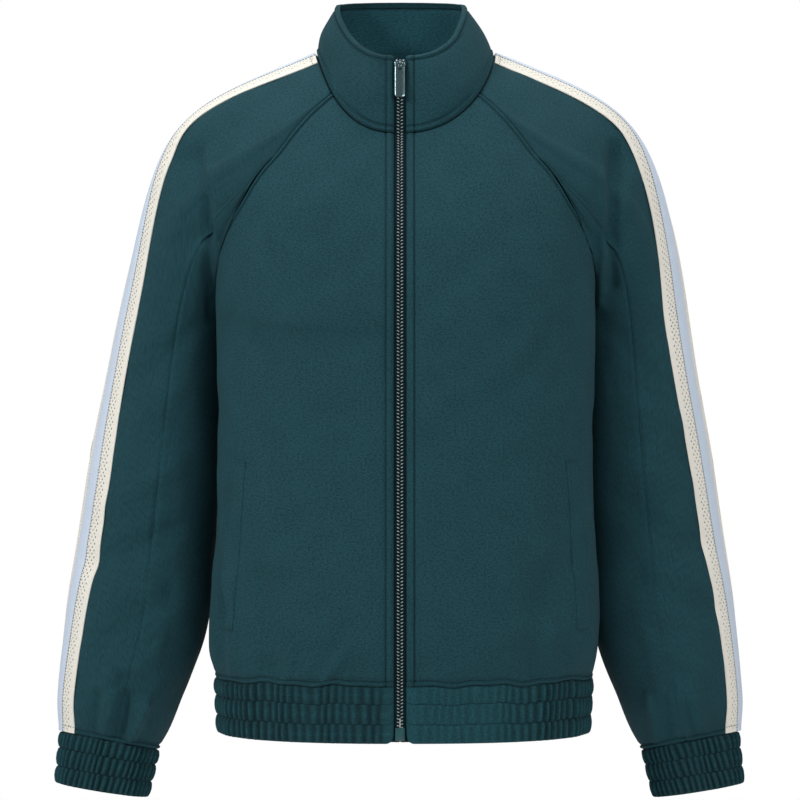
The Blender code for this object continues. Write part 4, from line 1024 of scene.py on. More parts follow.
def gathers(along, whole, share, pitch, slant, seed, strength):
    """Height of a shirred band's face over its base and of its inner face under it, and its crests, which the
    band's finish turns into painted shade in the valleys and painted light on the crests.
    """
    count = round(whole / pitch)
    lap = 2 * np.pi * along / whole
    slow, quick = max(1, round(count / 7)), max(2, round(count / 2.7))
    drift, shiver, sway = GATHER_DRIFT
    beat = count * along / whole + drift * np.sin(slow * lap + seed)
    beat = beat + shiver * np.sin(quick * lap + 2.1 * seed)
    beat = beat + slant * share + sway * np.sin(2.6 * share + slow * lap + seed)
    channel = np.zeros_like(share)
    for low, high, shift in zip(CHANNEL_LINES[:-1], CHANNEL_LINES[1:], CHANNEL_SHIFTS):
        within = (share >= low) & (share < high)
        t = np.clip((share - low) / (high - low), 0, 1)
        channel = channel + np.sin(np.pi * t) ** 0.5 * within
        beat = beat + shift * within
    crest_and_painted_shade = (0.5 + 0.5 * np.cos(2 * np.pi * beat)) ** 1.2
    depth = GATHER_DEPTH * (0.78 + 0.22 * np.sin((slow + 2) * lap + 3 * seed)) * strength
    outward = depth * crest_and_painted_shade * (0.34 + 0.66 * channel) - GATHER_SINK * strength
    # The last value paints shade into the valleys and light onto the crests of the band's colour.
    return outward, depth * crest_and_painted_shade * 0.3, 1 + (crest_and_painted_shade - 1) * np.minimum(strength, 1)


def band_shares():
    """Shares of a band's height, row by row, close together at its stitching and its rolled bottom edge."""
    near = np.array((0.0, 0.0005, 0.0011)) / HEM_DROP
    bottom = 1 - np.array((0.0, 0.0002, 0.0005, 0.0009, 0.0014, 0.0022)) / HEM_DROP
    rows = set(near) | set(bottom) | set(np.linspace(0.03, 0.955, 21))
    for line in CHANNEL_LINES[1:-1]:
        rows |= {line + away / HEM_DROP for away in (-0.0012, -0.0005, 0.0, 0.0005, 0.0012)}
    return np.array(sorted(rows))


def make_band(node, top, bottom, pitch, slant, seed, strength, front_edge=None, closed=False):
    """A shirred hem or cuff piece from its top and bottom rings. Its gathers have this pitch and slant, and
    strength is how deep they are, column by column. The front edge is the zip's, where the bottom corner is
    round."""
    share = band_shares()[:, None]
    reach = lengths(top[None], 1)[0]
    if front_edge:
        beside = reach if front_edge == "first" else reach[-1] - reach
        corner = HEM_CORNER - np.sqrt(np.maximum(HEM_CORNER**2 - np.maximum(HEM_CORNER - beside, 0) ** 2, 0))
        strength = strength * smooth((beside - 0.0075) / 0.006)
        share = share * (1 - corner / HEM_DROP)
    grid = top + (bottom - top) * share[..., None]
    normals = surface_normals(grid, closed)
    along = np.broadcast_to(reach, grid.shape[:2])
    full = band_shares()[:, None] + 0 * along
    whole = reach[-1] + (np.linalg.norm(top[0] - top[-1]) if closed else 0)
    outward, inward, crest_and_painted_shade = gathers(along, whole, full, pitch, slant, seed, strength)
    drop = (full[-1:] - full) * HEM_DROP
    half = BAND_CLOTH / 2
    turned = half - np.sqrt(np.maximum(half**2 - np.maximum(half - drop, 0) ** 2, 0))
    roll = ROLL * np.exp(-((full * HEM_DROP / ROLL_REACH) ** 2))
    for line in CHANNEL_LINES[1:-1]:
        roll = roll + 0.0004 * np.exp(-(((full - line) * HEM_DROP / 0.0007) ** 2))
    for edge in ("first", "last"):
        beside = reach if edge == "first" else reach[-1] - reach
        if not closed:
            roll = roll + (0.0011 if edge == front_edge else ROLL) * np.exp(-((beside / 0.0011) ** 2))
    outer = grid + normals * (outward - roll - turned)[..., None]
    inner = grid - normals * (BAND_CLOTH + inward - turned)[..., None]
    face = Face(outer)
    made = cloth_piece(node, "band", face, inner, SHIRRED, "shirred_band", closed)
    # Painted shade and light: this attribute darkens the gathers' valleys and lightens their crests.
    mark(made, "crest_and_painted_shade", np.stack([crest_and_painted_shade, crest_and_painted_shade]))
    for line in CHANNEL_LINES[1:-1]:
        row = int(np.argmin(np.abs(band_shares() - line)))
        path = outer[row] + normals[row] * 0.0002
        THREADS["teal"].append(np.concatenate([path, path[:1]]) if closed else path)
    return face


def even_turns(start, end, step, skip_start=0.0):
    """Turns round the hem whose points are about this length of cloth apart."""
    fine = np.linspace(start, end, 2000)
    length = lengths(trunk_point(fine, HEM_SEAM)[None], 1)[0]
    count = int((length[-1] - skip_start) / step)
    return np.interp(np.linspace(skip_start, length[-1], count + 1), length, fine)


def hem_rings(turns):
    ring = trunk_point(turns, np.full_like(turns, HEM_SEAM))
    low = ring * np.array((HEM_NARROWING, HEM_NARROWING, 1.0)) - np.array((0, 0, HEM_DROP))
    return ring, low


def make_hem():
    front = even_turns(0, SIDE_TURN, HEM_COLUMN, FRONT_EDGE)
    back = even_turns(SIDE_TURN, 180, HEM_COLUMN)
    for side in (-1, 1):
        ring, low = hem_rings(front)
        if side < 0:
            ring, low = (mirrored(row[None])[0] for row in (ring, low))
        ring, low = lean(ring), lean(low)
        away = np.abs(ring[:, 0])
        near, more, start, reach = HEM_DEPTHS[side]
        depth = near + more * smooth((away - start) / reach)
        word = side_name(side)
        zip_edge = "first" if side > 0 else "last"
        make_band(f"hem_front_{word}", ring, low, HEM_PITCH, 0.0, 0.7 + side, depth, zip_edge)
    ring, low = hem_rings(back)
    ring, low = (np.concatenate([row, mirrored(row[None])[0][1:]]) for row in (ring, low))
    depth = 0.85 + 0.15 * np.sin(ring[:, 0] * 40)
    make_band("hem_back", lean(ring), lean(low), HEM_PITCH, 0.0, 2.9, depth)


def make_cuffs():
    fine = np.linspace(360, 0, 2000)
    length = lengths(arm_point(fine, np.ones_like(fine))[None], 1)[0]
    count = int(length[-1] / CUFF_COLUMN)
    angles = np.interp(np.linspace(0, length[-1], count + 1)[:-1], length, fine)
    for side in (-1, 1):
        top, bottom = (arm_point(angles, np.full_like(angles, down)) for down in (1.0, CUFF_END))
        if side < 0:
            top, bottom = (mirrored(row[None])[0] for row in (top, bottom))
        word = side_name(side)
        top, bottom = lean(top, 1.0), lean(bottom, 1.0)
        slant, depth = -CUFF_SLANT * side, np.full(len(top), CUFF_GATHERS)
        make_band(f"cuff_{word}", top, bottom, CUFF_PITCH, slant, 1.6 * side, depth, closed=True)


# ---------------------------------------------------------------- side tapes and pocket welts

TAPE_EDGE_LINE = 0.0016     # stitching from the tape's edge, and from the satin's
EYELET_ACROSS = 0.0027
EYELET_ALONG = 0.0034
EYELET_RADIUS = 0.00078
EYELET_TALL = 1.4           # height of an eyelet over its width
EYELET_MARGIN = 0.0052      # plain knit between the tape's edge and its eyelets
EYELETS_PER_SIDE = 5        # places across, on each side of the satin


class Stripe:
    """The strip of sleeve under a side tape, read by distance across it and down it."""

    def __init__(self, side):
        down = np.concatenate([np.linspace(-1, 0, 110), np.linspace(0, 1, 120)[1:]])[:, None]
        around = np.linspace(-0.45, 0.45, 241)
        length = lengths(sleeve_point(around[None, :], down), 1)
        length -= length[:, [len(around) // 2]]
        self.away = np.linspace(-TAPE_WIDTH / 2, TAPE_WIDTH / 2, 33)
        away = STRIPE(side_name(side), down) + self.away[::-1]
        places = np.array([np.interp(wanted, row, around) for wanted, row in zip(away, length)])
        grid = sleeve_point(places, down)
        if side < 0:
            grid = mirrored(grid)
        grid = lean(grid, down)
        self.grid = folded(grid, surface_normals(grid), "sleeve", side, cuff_share(down))
        self.normals = surface_normals(self.grid)
        self.down = lengths(self.grid[:, [16]], 0)[:, 0]

    def at(self, away, down, height):
        """Points at these distances across and down, moved out by this height."""
        i = np.clip(np.searchsorted(self.down, down) - 1, 0, len(self.down) - 2)
        j = np.clip(np.searchsorted(self.away, away) - 1, 0, len(self.away) - 2)
        s = np.clip((down - self.down[i]) / (self.down[i + 1] - self.down[i]), 0, 1)[..., None]
        t = np.clip((away - self.away[j]) / (self.away[j + 1] - self.away[j]), 0, 1)[..., None]

        def read(values):
            high = values[i, j] * (1 - t) + values[i, j + 1] * t
            low = values[i + 1, j] * (1 - t) + values[i + 1, j + 1] * t
            return high * (1 - s) + low * s

        return read(self.grid) + unit(read(self.normals)) * np.asarray(height)[..., None]


def tape_height(away):
    """Height of the tape's underside over the sleeve: held down at its edges, and swelling between them."""
    beside = TAPE_WIDTH / 2 - np.abs(away)
    pull = np.exp(-(((beside - TAPE_EDGE_LINE) / 0.0006) ** 2))
    return 0.0003 + 0.0006 * smooth((beside - TAPE_EDGE_LINE) / 0.003) - 0.0002 * pull


def make_tape(side, stripe):
    """A knitted tape with staggered eyelets through it, on both sides of the satin."""
    half = TAPE_WIDTH / 2
    inner_line = half - EYELET_MARGIN - EYELETS_PER_SIDE * EYELET_ACROSS
    first = -half + EYELET_MARGIN
    cells = [-half, first] + [first + (i + 1) * EYELET_ACROSS for i in range(EYELETS_PER_SIDE)]
    cells += [-inner_line * 0.5, 0.0, inner_line * 0.5] + [-x for x in cells[::-1]]
    xs = np.array(cells)
    start, end = 0.0016, stripe.down[-1] - 0.0010
    rows = int((end - start - 0.004) / EYELET_ALONG)
    evenly = np.linspace(start + 0.002, end - 0.002, rows)
    ys = np.concatenate([[start, start + 0.0014], evenly, [end - 0.0014, end]])
    columns = len(xs)
    grid_x, grid_y = np.meshgrid(xs, ys)
    flat = [np.stack([grid_x.ravel(), grid_y.ravel()], -1)]
    count = flat[0].shape[0]
    faces, rims = [], []
    angles = np.radians(22.5 + 45 * np.arange(8))
    for i in range(len(ys) - 1):
        for j in range(columns - 1):
            a, b = i * columns + j, (i + 1) * columns + j
            wide = abs(xs[j + 1] - xs[j] - EYELET_ACROSS) < 1e-6 and 1 < i < len(ys) - 3
            if not (wide and (i + j) % 2):
                faces.append((a, b, b + 1, a + 1))
                continue
            centre = np.array(((xs[j] + xs[j + 1]) / 2, (ys[i] + ys[i + 1]) / 2))
            ring = centre + EYELET_RADIUS * np.stack([np.cos(angles), np.sin(angles) * EYELET_TALL], -1)
            flat.append(ring)
            r = list(range(count, count + 8))
            count += 8
            corner = {0: b + 1, 2: b, 4: a, 6: a + 1}
            for k in (0, 2, 4, 6):
                faces.append((r[k], r[(k + 1) % 8], corner[k]))
                faces.append((r[(k + 1) % 8], r[(k + 2) % 8], corner[(k + 2) % 8], corner[k]))
            rims.append(r)
    flat = np.concatenate(flat)
    low = tape_height(flat[:, 0])
    under = stripe.at(flat[:, 0], flat[:, 1], low)
    over = stripe.at(flat[:, 0], flat[:, 1], low + TAPE_THICKNESS)
    total = len(flat)
    every = [tuple(face) for face in faces] + [tuple(v + total for v in face[::-1]) for face in faces]
    border = [j for j in range(columns)] + [i * columns + columns - 1 for i in range(1, len(ys))]
    border += [(len(ys) - 1) * columns + j for j in range(columns - 2, -1, -1)]
    border += [i * columns for i in range(len(ys) - 2, 0, -1)]
    for loop in [border] + rims:
        for p, q in zip(loop, loop[1:] + loop[:1]):
            every.append((p, q, q + total, p + total))
    mesh = bpy.data.meshes.new(f"side_tape_{side_name(side)}_net")
    mesh.from_pydata(np.concatenate([over, under]).tolist(), [], every)
    uv = np.tile(flat, (2, 1))
    loops = np.empty(len(mesh.loops), np.int32)
    mesh.loops.foreach_get("vertex_index", loops)
    mesh.uv_layers.new(name="cloth").data.foreach_set("uv", uv[loops].reshape(-1).astype(np.float32))
    bm = bmesh.new()
    bm.from_mesh(mesh)
    bmesh.ops.recalc_face_normals(bm, faces=bm.faces)
    bm.to_mesh(mesh)
    bm.free()
    word = side_name(side)
    made = dress(new_piece(f"side_tape_{word}_net", mesh, EYELET), "eyelet_tape", f"side_tape_{word}")
    line = np.linspace(start + 0.001, end - 0.001, 240)
    for sign in (-1, 1):
        away = np.full_like(line, sign * (half - TAPE_EDGE_LINE))
        THREADS["cream"].append(stripe.at(away, line, tape_height(away) + TAPE_THICKNESS + 0.0001))
        # Stitching beside the satin's edges, in near-black thread that also paints the shade line there.
        away = np.full_like(line, sign * (SATIN_WIDTH / 2 + 0.0006))
        THREADS["dark"].append(stripe.at(away, line, tape_height(away) + TAPE_THICKNESS + 0.0002))
    for down in (start + 0.0055, end - 0.0062):
        away = np.linspace(-half + 0.0010, half - 0.0010, 40)
        away = away[np.abs(away) > SATIN_WIDTH / 2 + 0.0004] if down < 0.1 else away
        for part in (away[away < 0], away[away >= 0]):
            line_down = np.full_like(part, down)
            THREADS["teal"].append(stripe.at(part, line_down, tape_height(part) + TAPE_THICKNESS + 0.0002))
    return start, end


def make_satin(side, stripe, start, end):
    half = SATIN_WIDTH / 2
    beside = np.array((0.0, 0.0002, 0.0005, 0.0009, 0.0013, 0.0018, 0.0026))
    xs = np.concatenate([-half + beside, np.linspace(-half + 0.0036, half - 0.0036, 5), half - beside[::-1]])
    ys = np.linspace(start, end, 230)
    away, down = np.meshgrid(xs, ys)
    edge = half - np.abs(away)
    base = tape_height(away) + TAPE_THICKNESS + 0.0001
    swell = SATIN_THICKNESS * np.minimum(1, np.sqrt(np.clip(edge / 0.0006, 0.03, 1)))
    swell = swell + 0.0003 * smooth((edge - 0.0015) / 0.003)
    swell = swell - 0.0003 * np.exp(-(((edge - 0.0012) / 0.0005) ** 2))
    wave = 0.00008 * np.sin(down * 880 + 2 * np.sin(down * 190)) * np.exp(-((edge / 0.003) ** 2))
    outer, inner = stripe.at(away, down, base + swell + wave), stripe.at(away, down, base)
    face = Face(outer)
    word = side_name(side)
    cloth_piece(f"side_satin_{word}", "ribbon", face, inner, SATIN, "satin_strip")


POCKET = Rows("height near far", [
    (-0.384, 0.1545, 0.1665),
    (-0.452, 0.1600, 0.1730),
    (-0.547, 0.1655, 0.1770),
])
WELT_THICKNESS = 0.0014


def body_point(x, z):
    """The point of the body's front, below the underarm, that shows at this place seen from the front."""
    level = np.interp(z, TRUNK.columns["z_side"][::-1], TRUNK.keys[::-1])
    turns = np.linspace(0, 90, 400)
    turn = np.empty_like(x)
    for place in np.ndindex(x.shape):
        across = trunk_point(turns, np.full_like(turns, level[place]))[:, 0]
        turn[place] = np.interp(x[place], across, turns)
    return trunk_point(turn, level)


def make_pocket(side):
    """A welt with soft edges: its outer edge is the pocket's mouth, and its inner edge is sewn down."""
    beside = np.array((0.0, 0.0003, 0.0008, 0.0015, 0.0024))
    heights = np.concatenate([POCKET.keys[-1] - beside, np.linspace(-0.389, -0.542, 60),
                              POCKET.keys[0] + beside[::-1]])
    near, far = POCKET("near", heights), POCKET("far", heights)
    width = 0.0120
    share = np.concatenate([beside, np.linspace(0.0034, width - 0.0034, 6), width - beside[::-1]]) / width
    x = near[:, None] + (far - near)[:, None] * share
    z = np.repeat(heights[:, None], len(share), axis=1)
    grid = body_point(x, z)
    if side < 0:
        grid, share = mirrored(grid), share[::-1]
    grid = lean(grid)
    base = folded(grid, surface_normals(grid), "body", side, 1.0)
    normals = surface_normals(base)
    flat = Face(base)
    near_edge, mouth = ("first", "last") if side > 0 else ("last", "first")
    ends = np.minimum(flat.away["top"], flat.away["bottom"])
    height = WELT_THICKNESS * np.sqrt(np.clip(flat.away[mouth] / 0.0010, 0.02, 1))
    height = height * np.sqrt(np.clip(flat.away[near_edge] / 0.0030, 0.02, 1))
    height = height * np.sqrt(np.clip(ends / 0.002, 0.02, 1))
    face = Face(base + normals * (height + 0.0002 + rumple(base))[..., None])
    inner = base - normals * 0.0004
    word = side_name(side)
    cloth_piece(f"pocket_welt_{word}", "cloth", face, inner, KNIT, "knit")
    THREADS["teal"].append(face.line("top", 0.0022, 0.0001))
    THREADS["teal"].append(face.line("bottom", 0.0022, 0.0001))


def make_stripes():
    for side in (-1, 1):
        stripe = Stripe(side)
        start, end = make_tape(side, stripe)
        make_satin(side, stripe, start, end)
        make_pocket(side)


# ---------------------------------------------------------------- zip

def across_to(points, x):
    """The point of a row, which runs away from the centre front, that lies at this distance from it."""
    return np.array([x, np.interp(x, points[:, 0], points[:, 1]), np.interp(x, points[:, 0], points[:, 2])])


def line_beside_zip(x):
    """Points of the outer face at this distance from the centre front, from the collar's top to the hem."""
    turns = np.linspace(0, 40, 81)
    ups, levels = np.linspace(1, 0, 19), np.linspace(0, HEM_SEAM, 121)[1:]
    collar = [across_to(collar_point(turns, np.full_like(turns, up)), x) for up in ups]
    body = [across_to(trunk_point(turns, np.full_like(turns, level)), x) for level in levels]
    hem = body[-1] * np.array((1, HEM_NARROWING, 1)) - np.array((0, 0, HEM_DROP))
    hem_rows = [body[-1] + (hem - body[-1]) * share for share in (0.25, 0.5, 0.75, 1.0)]
    return np.array(collar + body + hem_rows)


def zip_normals(line):
    return unit(np.cross(np.gradient(line, axis=0), np.array((1.0, 0, 0))))


def between(line, top, bottom):
    """The part of a line that runs down between these two heights."""
    ends = [[np.interp(z, line[::-1, 2], line[::-1, k]) for k in range(3)] for z in (top, bottom)]
    inside = line[(line[:, 2] < top - 0.001) & (line[:, 2] > bottom + 0.001)]
    return np.concatenate([ends[:1], inside, ends[1:]])


ZIP_LINE = line_beside_zip(0.0)
ZIP_TOP, ZIP_BOTTOM = ZIP_LINE[0, 2] - 0.0015, ZIP_LINE[-1, 2] + 0.0015


def make_zip_tape(side):
    """A tape with a raised cord along the teeth and a flat edge under the front."""
    xs = np.array((0.0002, 0.0012, 0.0024, 0.0029, 0.0033, 0.0037, 0.0041, 0.0045, 0.0052, 0.0070, 0.0100,
                   0.0130))
    rise = np.array((0, 0, 0, 0.0006, 0.0009, 0.0009, 0.0006, 0.0002, 0, 0, 0, 0))
    heights = between(ZIP_LINE, ZIP_TOP, ZIP_BOTTOM)[:, 2]
    lines, normals = [], []
    for x in xs:
        beside = line_beside_zip(x)[::-1]
        depths = np.interp(heights, beside[:, 2], beside[:, 1])
        line = np.stack([np.full_like(heights, x), depths, heights], -1)
        lines.append(line)
        normals.append(zip_normals(line))
    grid, normals = np.stack(lines, 1), np.stack(normals, 1)
    outer = grid - normals * (ZIP_TAPE_DEPTH - rise)[:, None]
    inner = grid - normals * (ZIP_TAPE_DEPTH + 0.0009)
    if side < 0:
        outer, inner = mirrored(outer), mirrored(inner)
    word = side_name(side)
    cloth_piece(f"zip_tape_{word}", "weave", Face(outer), inner, ZIP_TAPE, "zip_tape")


def geometry_tree(name, sizes):
    """A tree with these named sizes and a material as inputs."""
    tree = bpy.data.node_groups.new(name, "GeometryNodeTree")
    tree.interface.new_socket("Lines", in_out="INPUT", socket_type="NodeSocketGeometry")
    for size in sizes:
        tree.interface.new_socket(size, in_out="INPUT", socket_type="NodeSocketFloat")
    tree.interface.new_socket("Finish", in_out="INPUT", socket_type="NodeSocketMaterial")
    tree.interface.new_socket("Result", in_out="OUTPUT", socket_type="NodeSocketGeometry")
    nodes = Nodes(tree)
    return nodes, nodes.add("NodeGroupInput", out="Lines")


def end_tree(nodes, instances, source):
    real = nodes.add("GeometryNodeRealizeInstances", {}, {0: instances})
    finished = nodes.add("GeometryNodeSetMaterial", {}, {"Geometry": real, "Material": source.twin("Finish")})
    nodes.add("NodeGroupOutput", {}, {"Result": finished})
    return nodes.tree


def stitch_tree():
    """A small rounded stitch at every pitch along each line."""
    nodes, source = geometry_tree("stitches_along_lines", ("Pitch", "Length", "Width"))
    curve = nodes.add("GeometryNodeMeshToCurve", {}, {"Mesh": source})
    sockets = {"Curve": curve, "Length": source.twin("Pitch")}
    points = nodes.add("GeometryNodeCurveToPoints", {"mode": "LENGTH"}, sockets)
    turn = nodes.add("FunctionNodeAlignRotationToVector", {"axis": "Z"}, {"Vector": points.twin("Tangent")})
    width = source.twin("Width")
    size = nodes.add("ShaderNodeCombineXYZ", {}, {0: width, 1: width, 2: source.twin("Length")})
    bead = nodes.add("GeometryNodeMeshIcoSphere", {}, {"Radius": 0.5, "Subdivisions": 1})
    sockets = {"Points": points, "Instance": bead, "Rotation": turn, "Scale": size}
    return end_tree(nodes, nodes.add("GeometryNodeInstanceOnPoints", {}, sockets), source)


def tooth_tree():
    """A small bent tooth at every pitch along each line, reaching sideways and down it."""
    nodes, source = geometry_tree("coil_along_lines", ("Pitch", "Reach", "Rise", "Slant", "Thickness"))
    curve = nodes.add("GeometryNodeMeshToCurve", {}, {"Mesh": source})
    sockets = {"Curve": curve, "Length": source.twin("Pitch")}
    points = nodes.add("GeometryNodeCurveToPoints", {"mode": "LENGTH"}, sockets)
    along = nodes.add("FunctionNodeAlignRotationToVector", {"axis": "Z"}, {"Vector": points.twin("Tangent")})
    sockets = {"Rotation": along, "Vector": (1.0, 0.0, 0.0)}
    turn = nodes.add("FunctionNodeAlignRotationToVector", {"axis": "X", "pivot_axis": "Z"}, sockets)
    reach, rise, slant = source.twin("Reach"), source.twin("Rise"), source.twin("Slant")
    middle = nodes.add("ShaderNodeCombineXYZ", {}, {0: reach * 0.55, 1: rise * -2.2, 2: slant * 0.5})
    end = nodes.add("ShaderNodeCombineXYZ", {}, {0: reach, 1: rise * 0.1, 2: slant})
    sockets = {"Resolution": 5, "Start": (0.0, 0.0, 0.0), "Middle": middle, "End": end}
    loop = nodes.add("GeometryNodeCurveQuadraticBezier", {}, sockets)
    sockets = {"Resolution": 6, "Radius": source.twin("Thickness") * 0.5}
    ring = nodes.add("GeometryNodeCurvePrimitiveCircle", {"mode": "RADIUS"}, sockets)
    sockets = {"Curve": loop, "Profile Curve": ring, "Fill Caps": True}
    tooth = nodes.add("GeometryNodeCurveToMesh", {}, sockets)
    tooth = nodes.add("GeometryNodeSetShadeSmooth", {}, {"Geometry": tooth})
    sockets = {"Points": points, "Instance": tooth, "Rotation": turn}
    return end_tree(nodes, nodes.add("GeometryNodeInstanceOnPoints", {}, sockets), source)


def along_lines(name, tree, lines, finish, **sizes):
    """The plain mesh that this tree makes along the lines."""
    points, edges, start = [], [], 0
    for line in lines:
        points += [tuple(point) for point in line]
        edges += [(start + i, start + i + 1) for i in range(len(line) - 1)]
        start += len(line)
    mesh = bpy.data.meshes.new(name + "_lines")
    mesh.from_pydata(points, edges, [])
    guide = bpy.data.objects.new(name + "_lines", mesh)
    bpy.context.scene.collection.objects.link(guide)
    modifier = guide.modifiers.new("Along", "NODES")
    modifier.node_group = tree
    values = {"Finish": finish, **{size.capitalize(): value for size, value in sizes.items()}}
    for item in tree.interface.items_tree:
        if item.in_out == "INPUT" and item.name in values:
            modifier[item.identifier] = values[item.name]
    bpy.context.view_layer.update()
    made = bpy.data.meshes.new_from_object(guide.evaluated_get(bpy.context.evaluated_depsgraph_get()))
    bpy.data.objects.remove(guide)
    made.name = name
    return made


def mesh_of(bm, name):
    mesh = bpy.data.meshes.new(name)
    bm.to_mesh(mesh)
    bm.free()
    return mesh


def joined(name, meshes):
    bm = bmesh.new()
    for mesh in meshes:
        bm.from_mesh(mesh)
    return mesh_of(bm, name)


TOOTH_PITCH = 0.0033
TOOTH_FOOT = 0.0026         # from the centre front to where a tooth starts
TOOTH_REACH = 0.0016        # from there towards the centre front
TOOTH_DEPTH = 0.0025        # of the teeth under the outer face of the cloth


def make_teeth():
    tree = tooth_tree()
    line = between(ZIP_LINE, ZIP_TOP - 0.0015, BOX_TOP + 0.0004)
    out = zip_normals(line)
    columns = []
    for side in (-1, 1):
        shift = 0.0 if side > 0 else TOOTH_PITCH / 2
        column = line - out * TOOTH_DEPTH + np.array((side * TOOTH_FOOT, 0, -shift))
        sizes = {"pitch": TOOTH_PITCH, "reach": -side * TOOTH_REACH, "rise": -0.0011, "slant": 0.0007}
        name = f"coil_{side_name(side)}"
        columns.append(along_lines(name, tree, [column], COIL, thickness=0.0010, **sizes))
    made = new_piece("zip_teeth", joined("zip_teeth", columns), COIL)
    dress(made, "zip_coil", "zip_chain")


def flat_piece(name, loop, low, high, finish, bevel, segments=2, place=Matrix.Identity(4)):
    """A flat outline, in X and Y, from one height to another, with its edges rounded."""
    bm = bmesh.new()
    ring = [bm.verts.new((x, y, low)) for x, y in loop]
    face = bm.faces.new(ring)
    raised = bmesh.ops.extrude_face_region(bm, geom=[face])
    moved = [item for item in raised["geom"] if isinstance(item, bmesh.types.BMVert)]
    bmesh.ops.translate(bm, verts=moved, vec=(0, 0, high - low))
    bmesh.ops.recalc_face_normals(bm, faces=bm.faces)
    flat = [edge for edge in bm.edges if edge.calc_face_angle() > math.radians(40)]
    if bevel:
        bmesh.ops.bevel(bm, geom=flat, offset=bevel, segments=segments, profile=0.5, affect="EDGES")
    bmesh.ops.transform(bm, matrix=place, verts=bm.verts)
    mesh = mesh_of(bm, name)
    mesh.materials.append(finish)
    return mesh


def slider_place():
    """From the slider's own axes, X across, Y up along the zip and Z outwards, to the jacket's."""
    up = np.array((SLIDER_UP - 0.02, SLIDER_UP, SLIDER_UP + 0.02))
    low, middle, high = collar_point(np.zeros_like(up), up)
    rise = high - low
    turn = math.pi / 2 - math.atan2(rise[1], rise[2])
    return Matrix.Translation(Vector(middle)) @ Matrix.Rotation(turn, 4, "X")


def slider_loop():
    """The crown is a wide V at the top, and the tail is narrow."""
    half, end = SLIDER_WIDTH / 2, SLIDER_LENGTH / 2
    right = [
        (0.0, end - 0.0018),
        (half * 0.25, end - 0.0010),
        (half * 0.45, end - 0.0001),
        (half * 0.70, end),
        (half * 0.92, end - 0.0008),
        (half, end - 0.0030),
        (half * 0.94, end - 0.0060),
        (half * 0.72, -end + 0.0062),
        (half * 0.62, -end + 0.0040),
        (half * 0.60, -end + 0.0012),
        (half * 0.45, -end),
    ]
    return right[::-1] + [(-x, y) for x, y in right[1:]]


def bridge_loop():
    """The bridge from the side: a bar on two legs that stand in the plate."""
    span, room, bar = BRIDGE_SPAN / 2, BRIDGE_ROOM, BRIDGE_BAR
    foot = -SLIDER_THICKNESS / 2
    outer = [(span + bar, foot), (span + bar, room - 0.0004), (span + bar * 0.7, room + bar * 0.6),
             (span - 0.0004, room + bar)]
    inner = [(span, foot), (span, room * 0.75), (span - 0.0008, room)]
    return [(-x, y) for x, y in outer] + outer[::-1] + inner + [(-x, y) for x, y in inner[::-1]]


def make_slider():
    place = slider_place()
    top = SLIDER_LIFT + SLIDER_THICKNESS
    plate = flat_piece("plate", slider_loop(), SLIDER_LIFT, top, METAL, 0.0006, 3, place)
    stand = Matrix.Translation((0, BRIDGE_UP, top)) @ Matrix.Rotation(math.pi / 2, 4, "Z")
    stand = stand @ Matrix.Rotation(math.pi / 2, 4, "X")
    half = BRIDGE_WIDTH / 2
    bridge = flat_piece("bridge", bridge_loop(), -half, half, METAL, 0.00035, 2, place @ stand)
    lumps = []
    for side in (-1, 1):
        bm = bmesh.new()
        bmesh.ops.create_uvsphere(bm, u_segments=20, v_segments=10, radius=1.0)
        size = Matrix.Diagonal((0.0019, 0.0026, 0.0011, 1.0))
        spot = Matrix.Translation((side * 0.0033, SLIDER_LENGTH / 2 - 0.0036, top - 0.0003))
        bmesh.ops.transform(bm, matrix=place @ spot @ size, verts=bm.verts)
        lumps.append(mesh_of(bm, "lump"))
    made = new_piece("slider_metal", joined("slider_metal", [plate, bridge, *lumps]), METAL, 35)
    dress(made, "zip_metal", "zip_slider")
    return place


def tab_half_width(y, top, bottom, radius=0.0022):
    """Half the tab's width at this height, with round corners."""
    beside = np.minimum(top - y, y - bottom)
    corner = radius - np.sqrt(np.maximum(radius**2 - np.maximum(radius - beside, 0) ** 2, 0))
    return TAB_WIDTH / 2 - corner


BEVEL_START = 0.46          # of the tab's front, as a share of its half width
BEVEL_SLOPE = 0.26


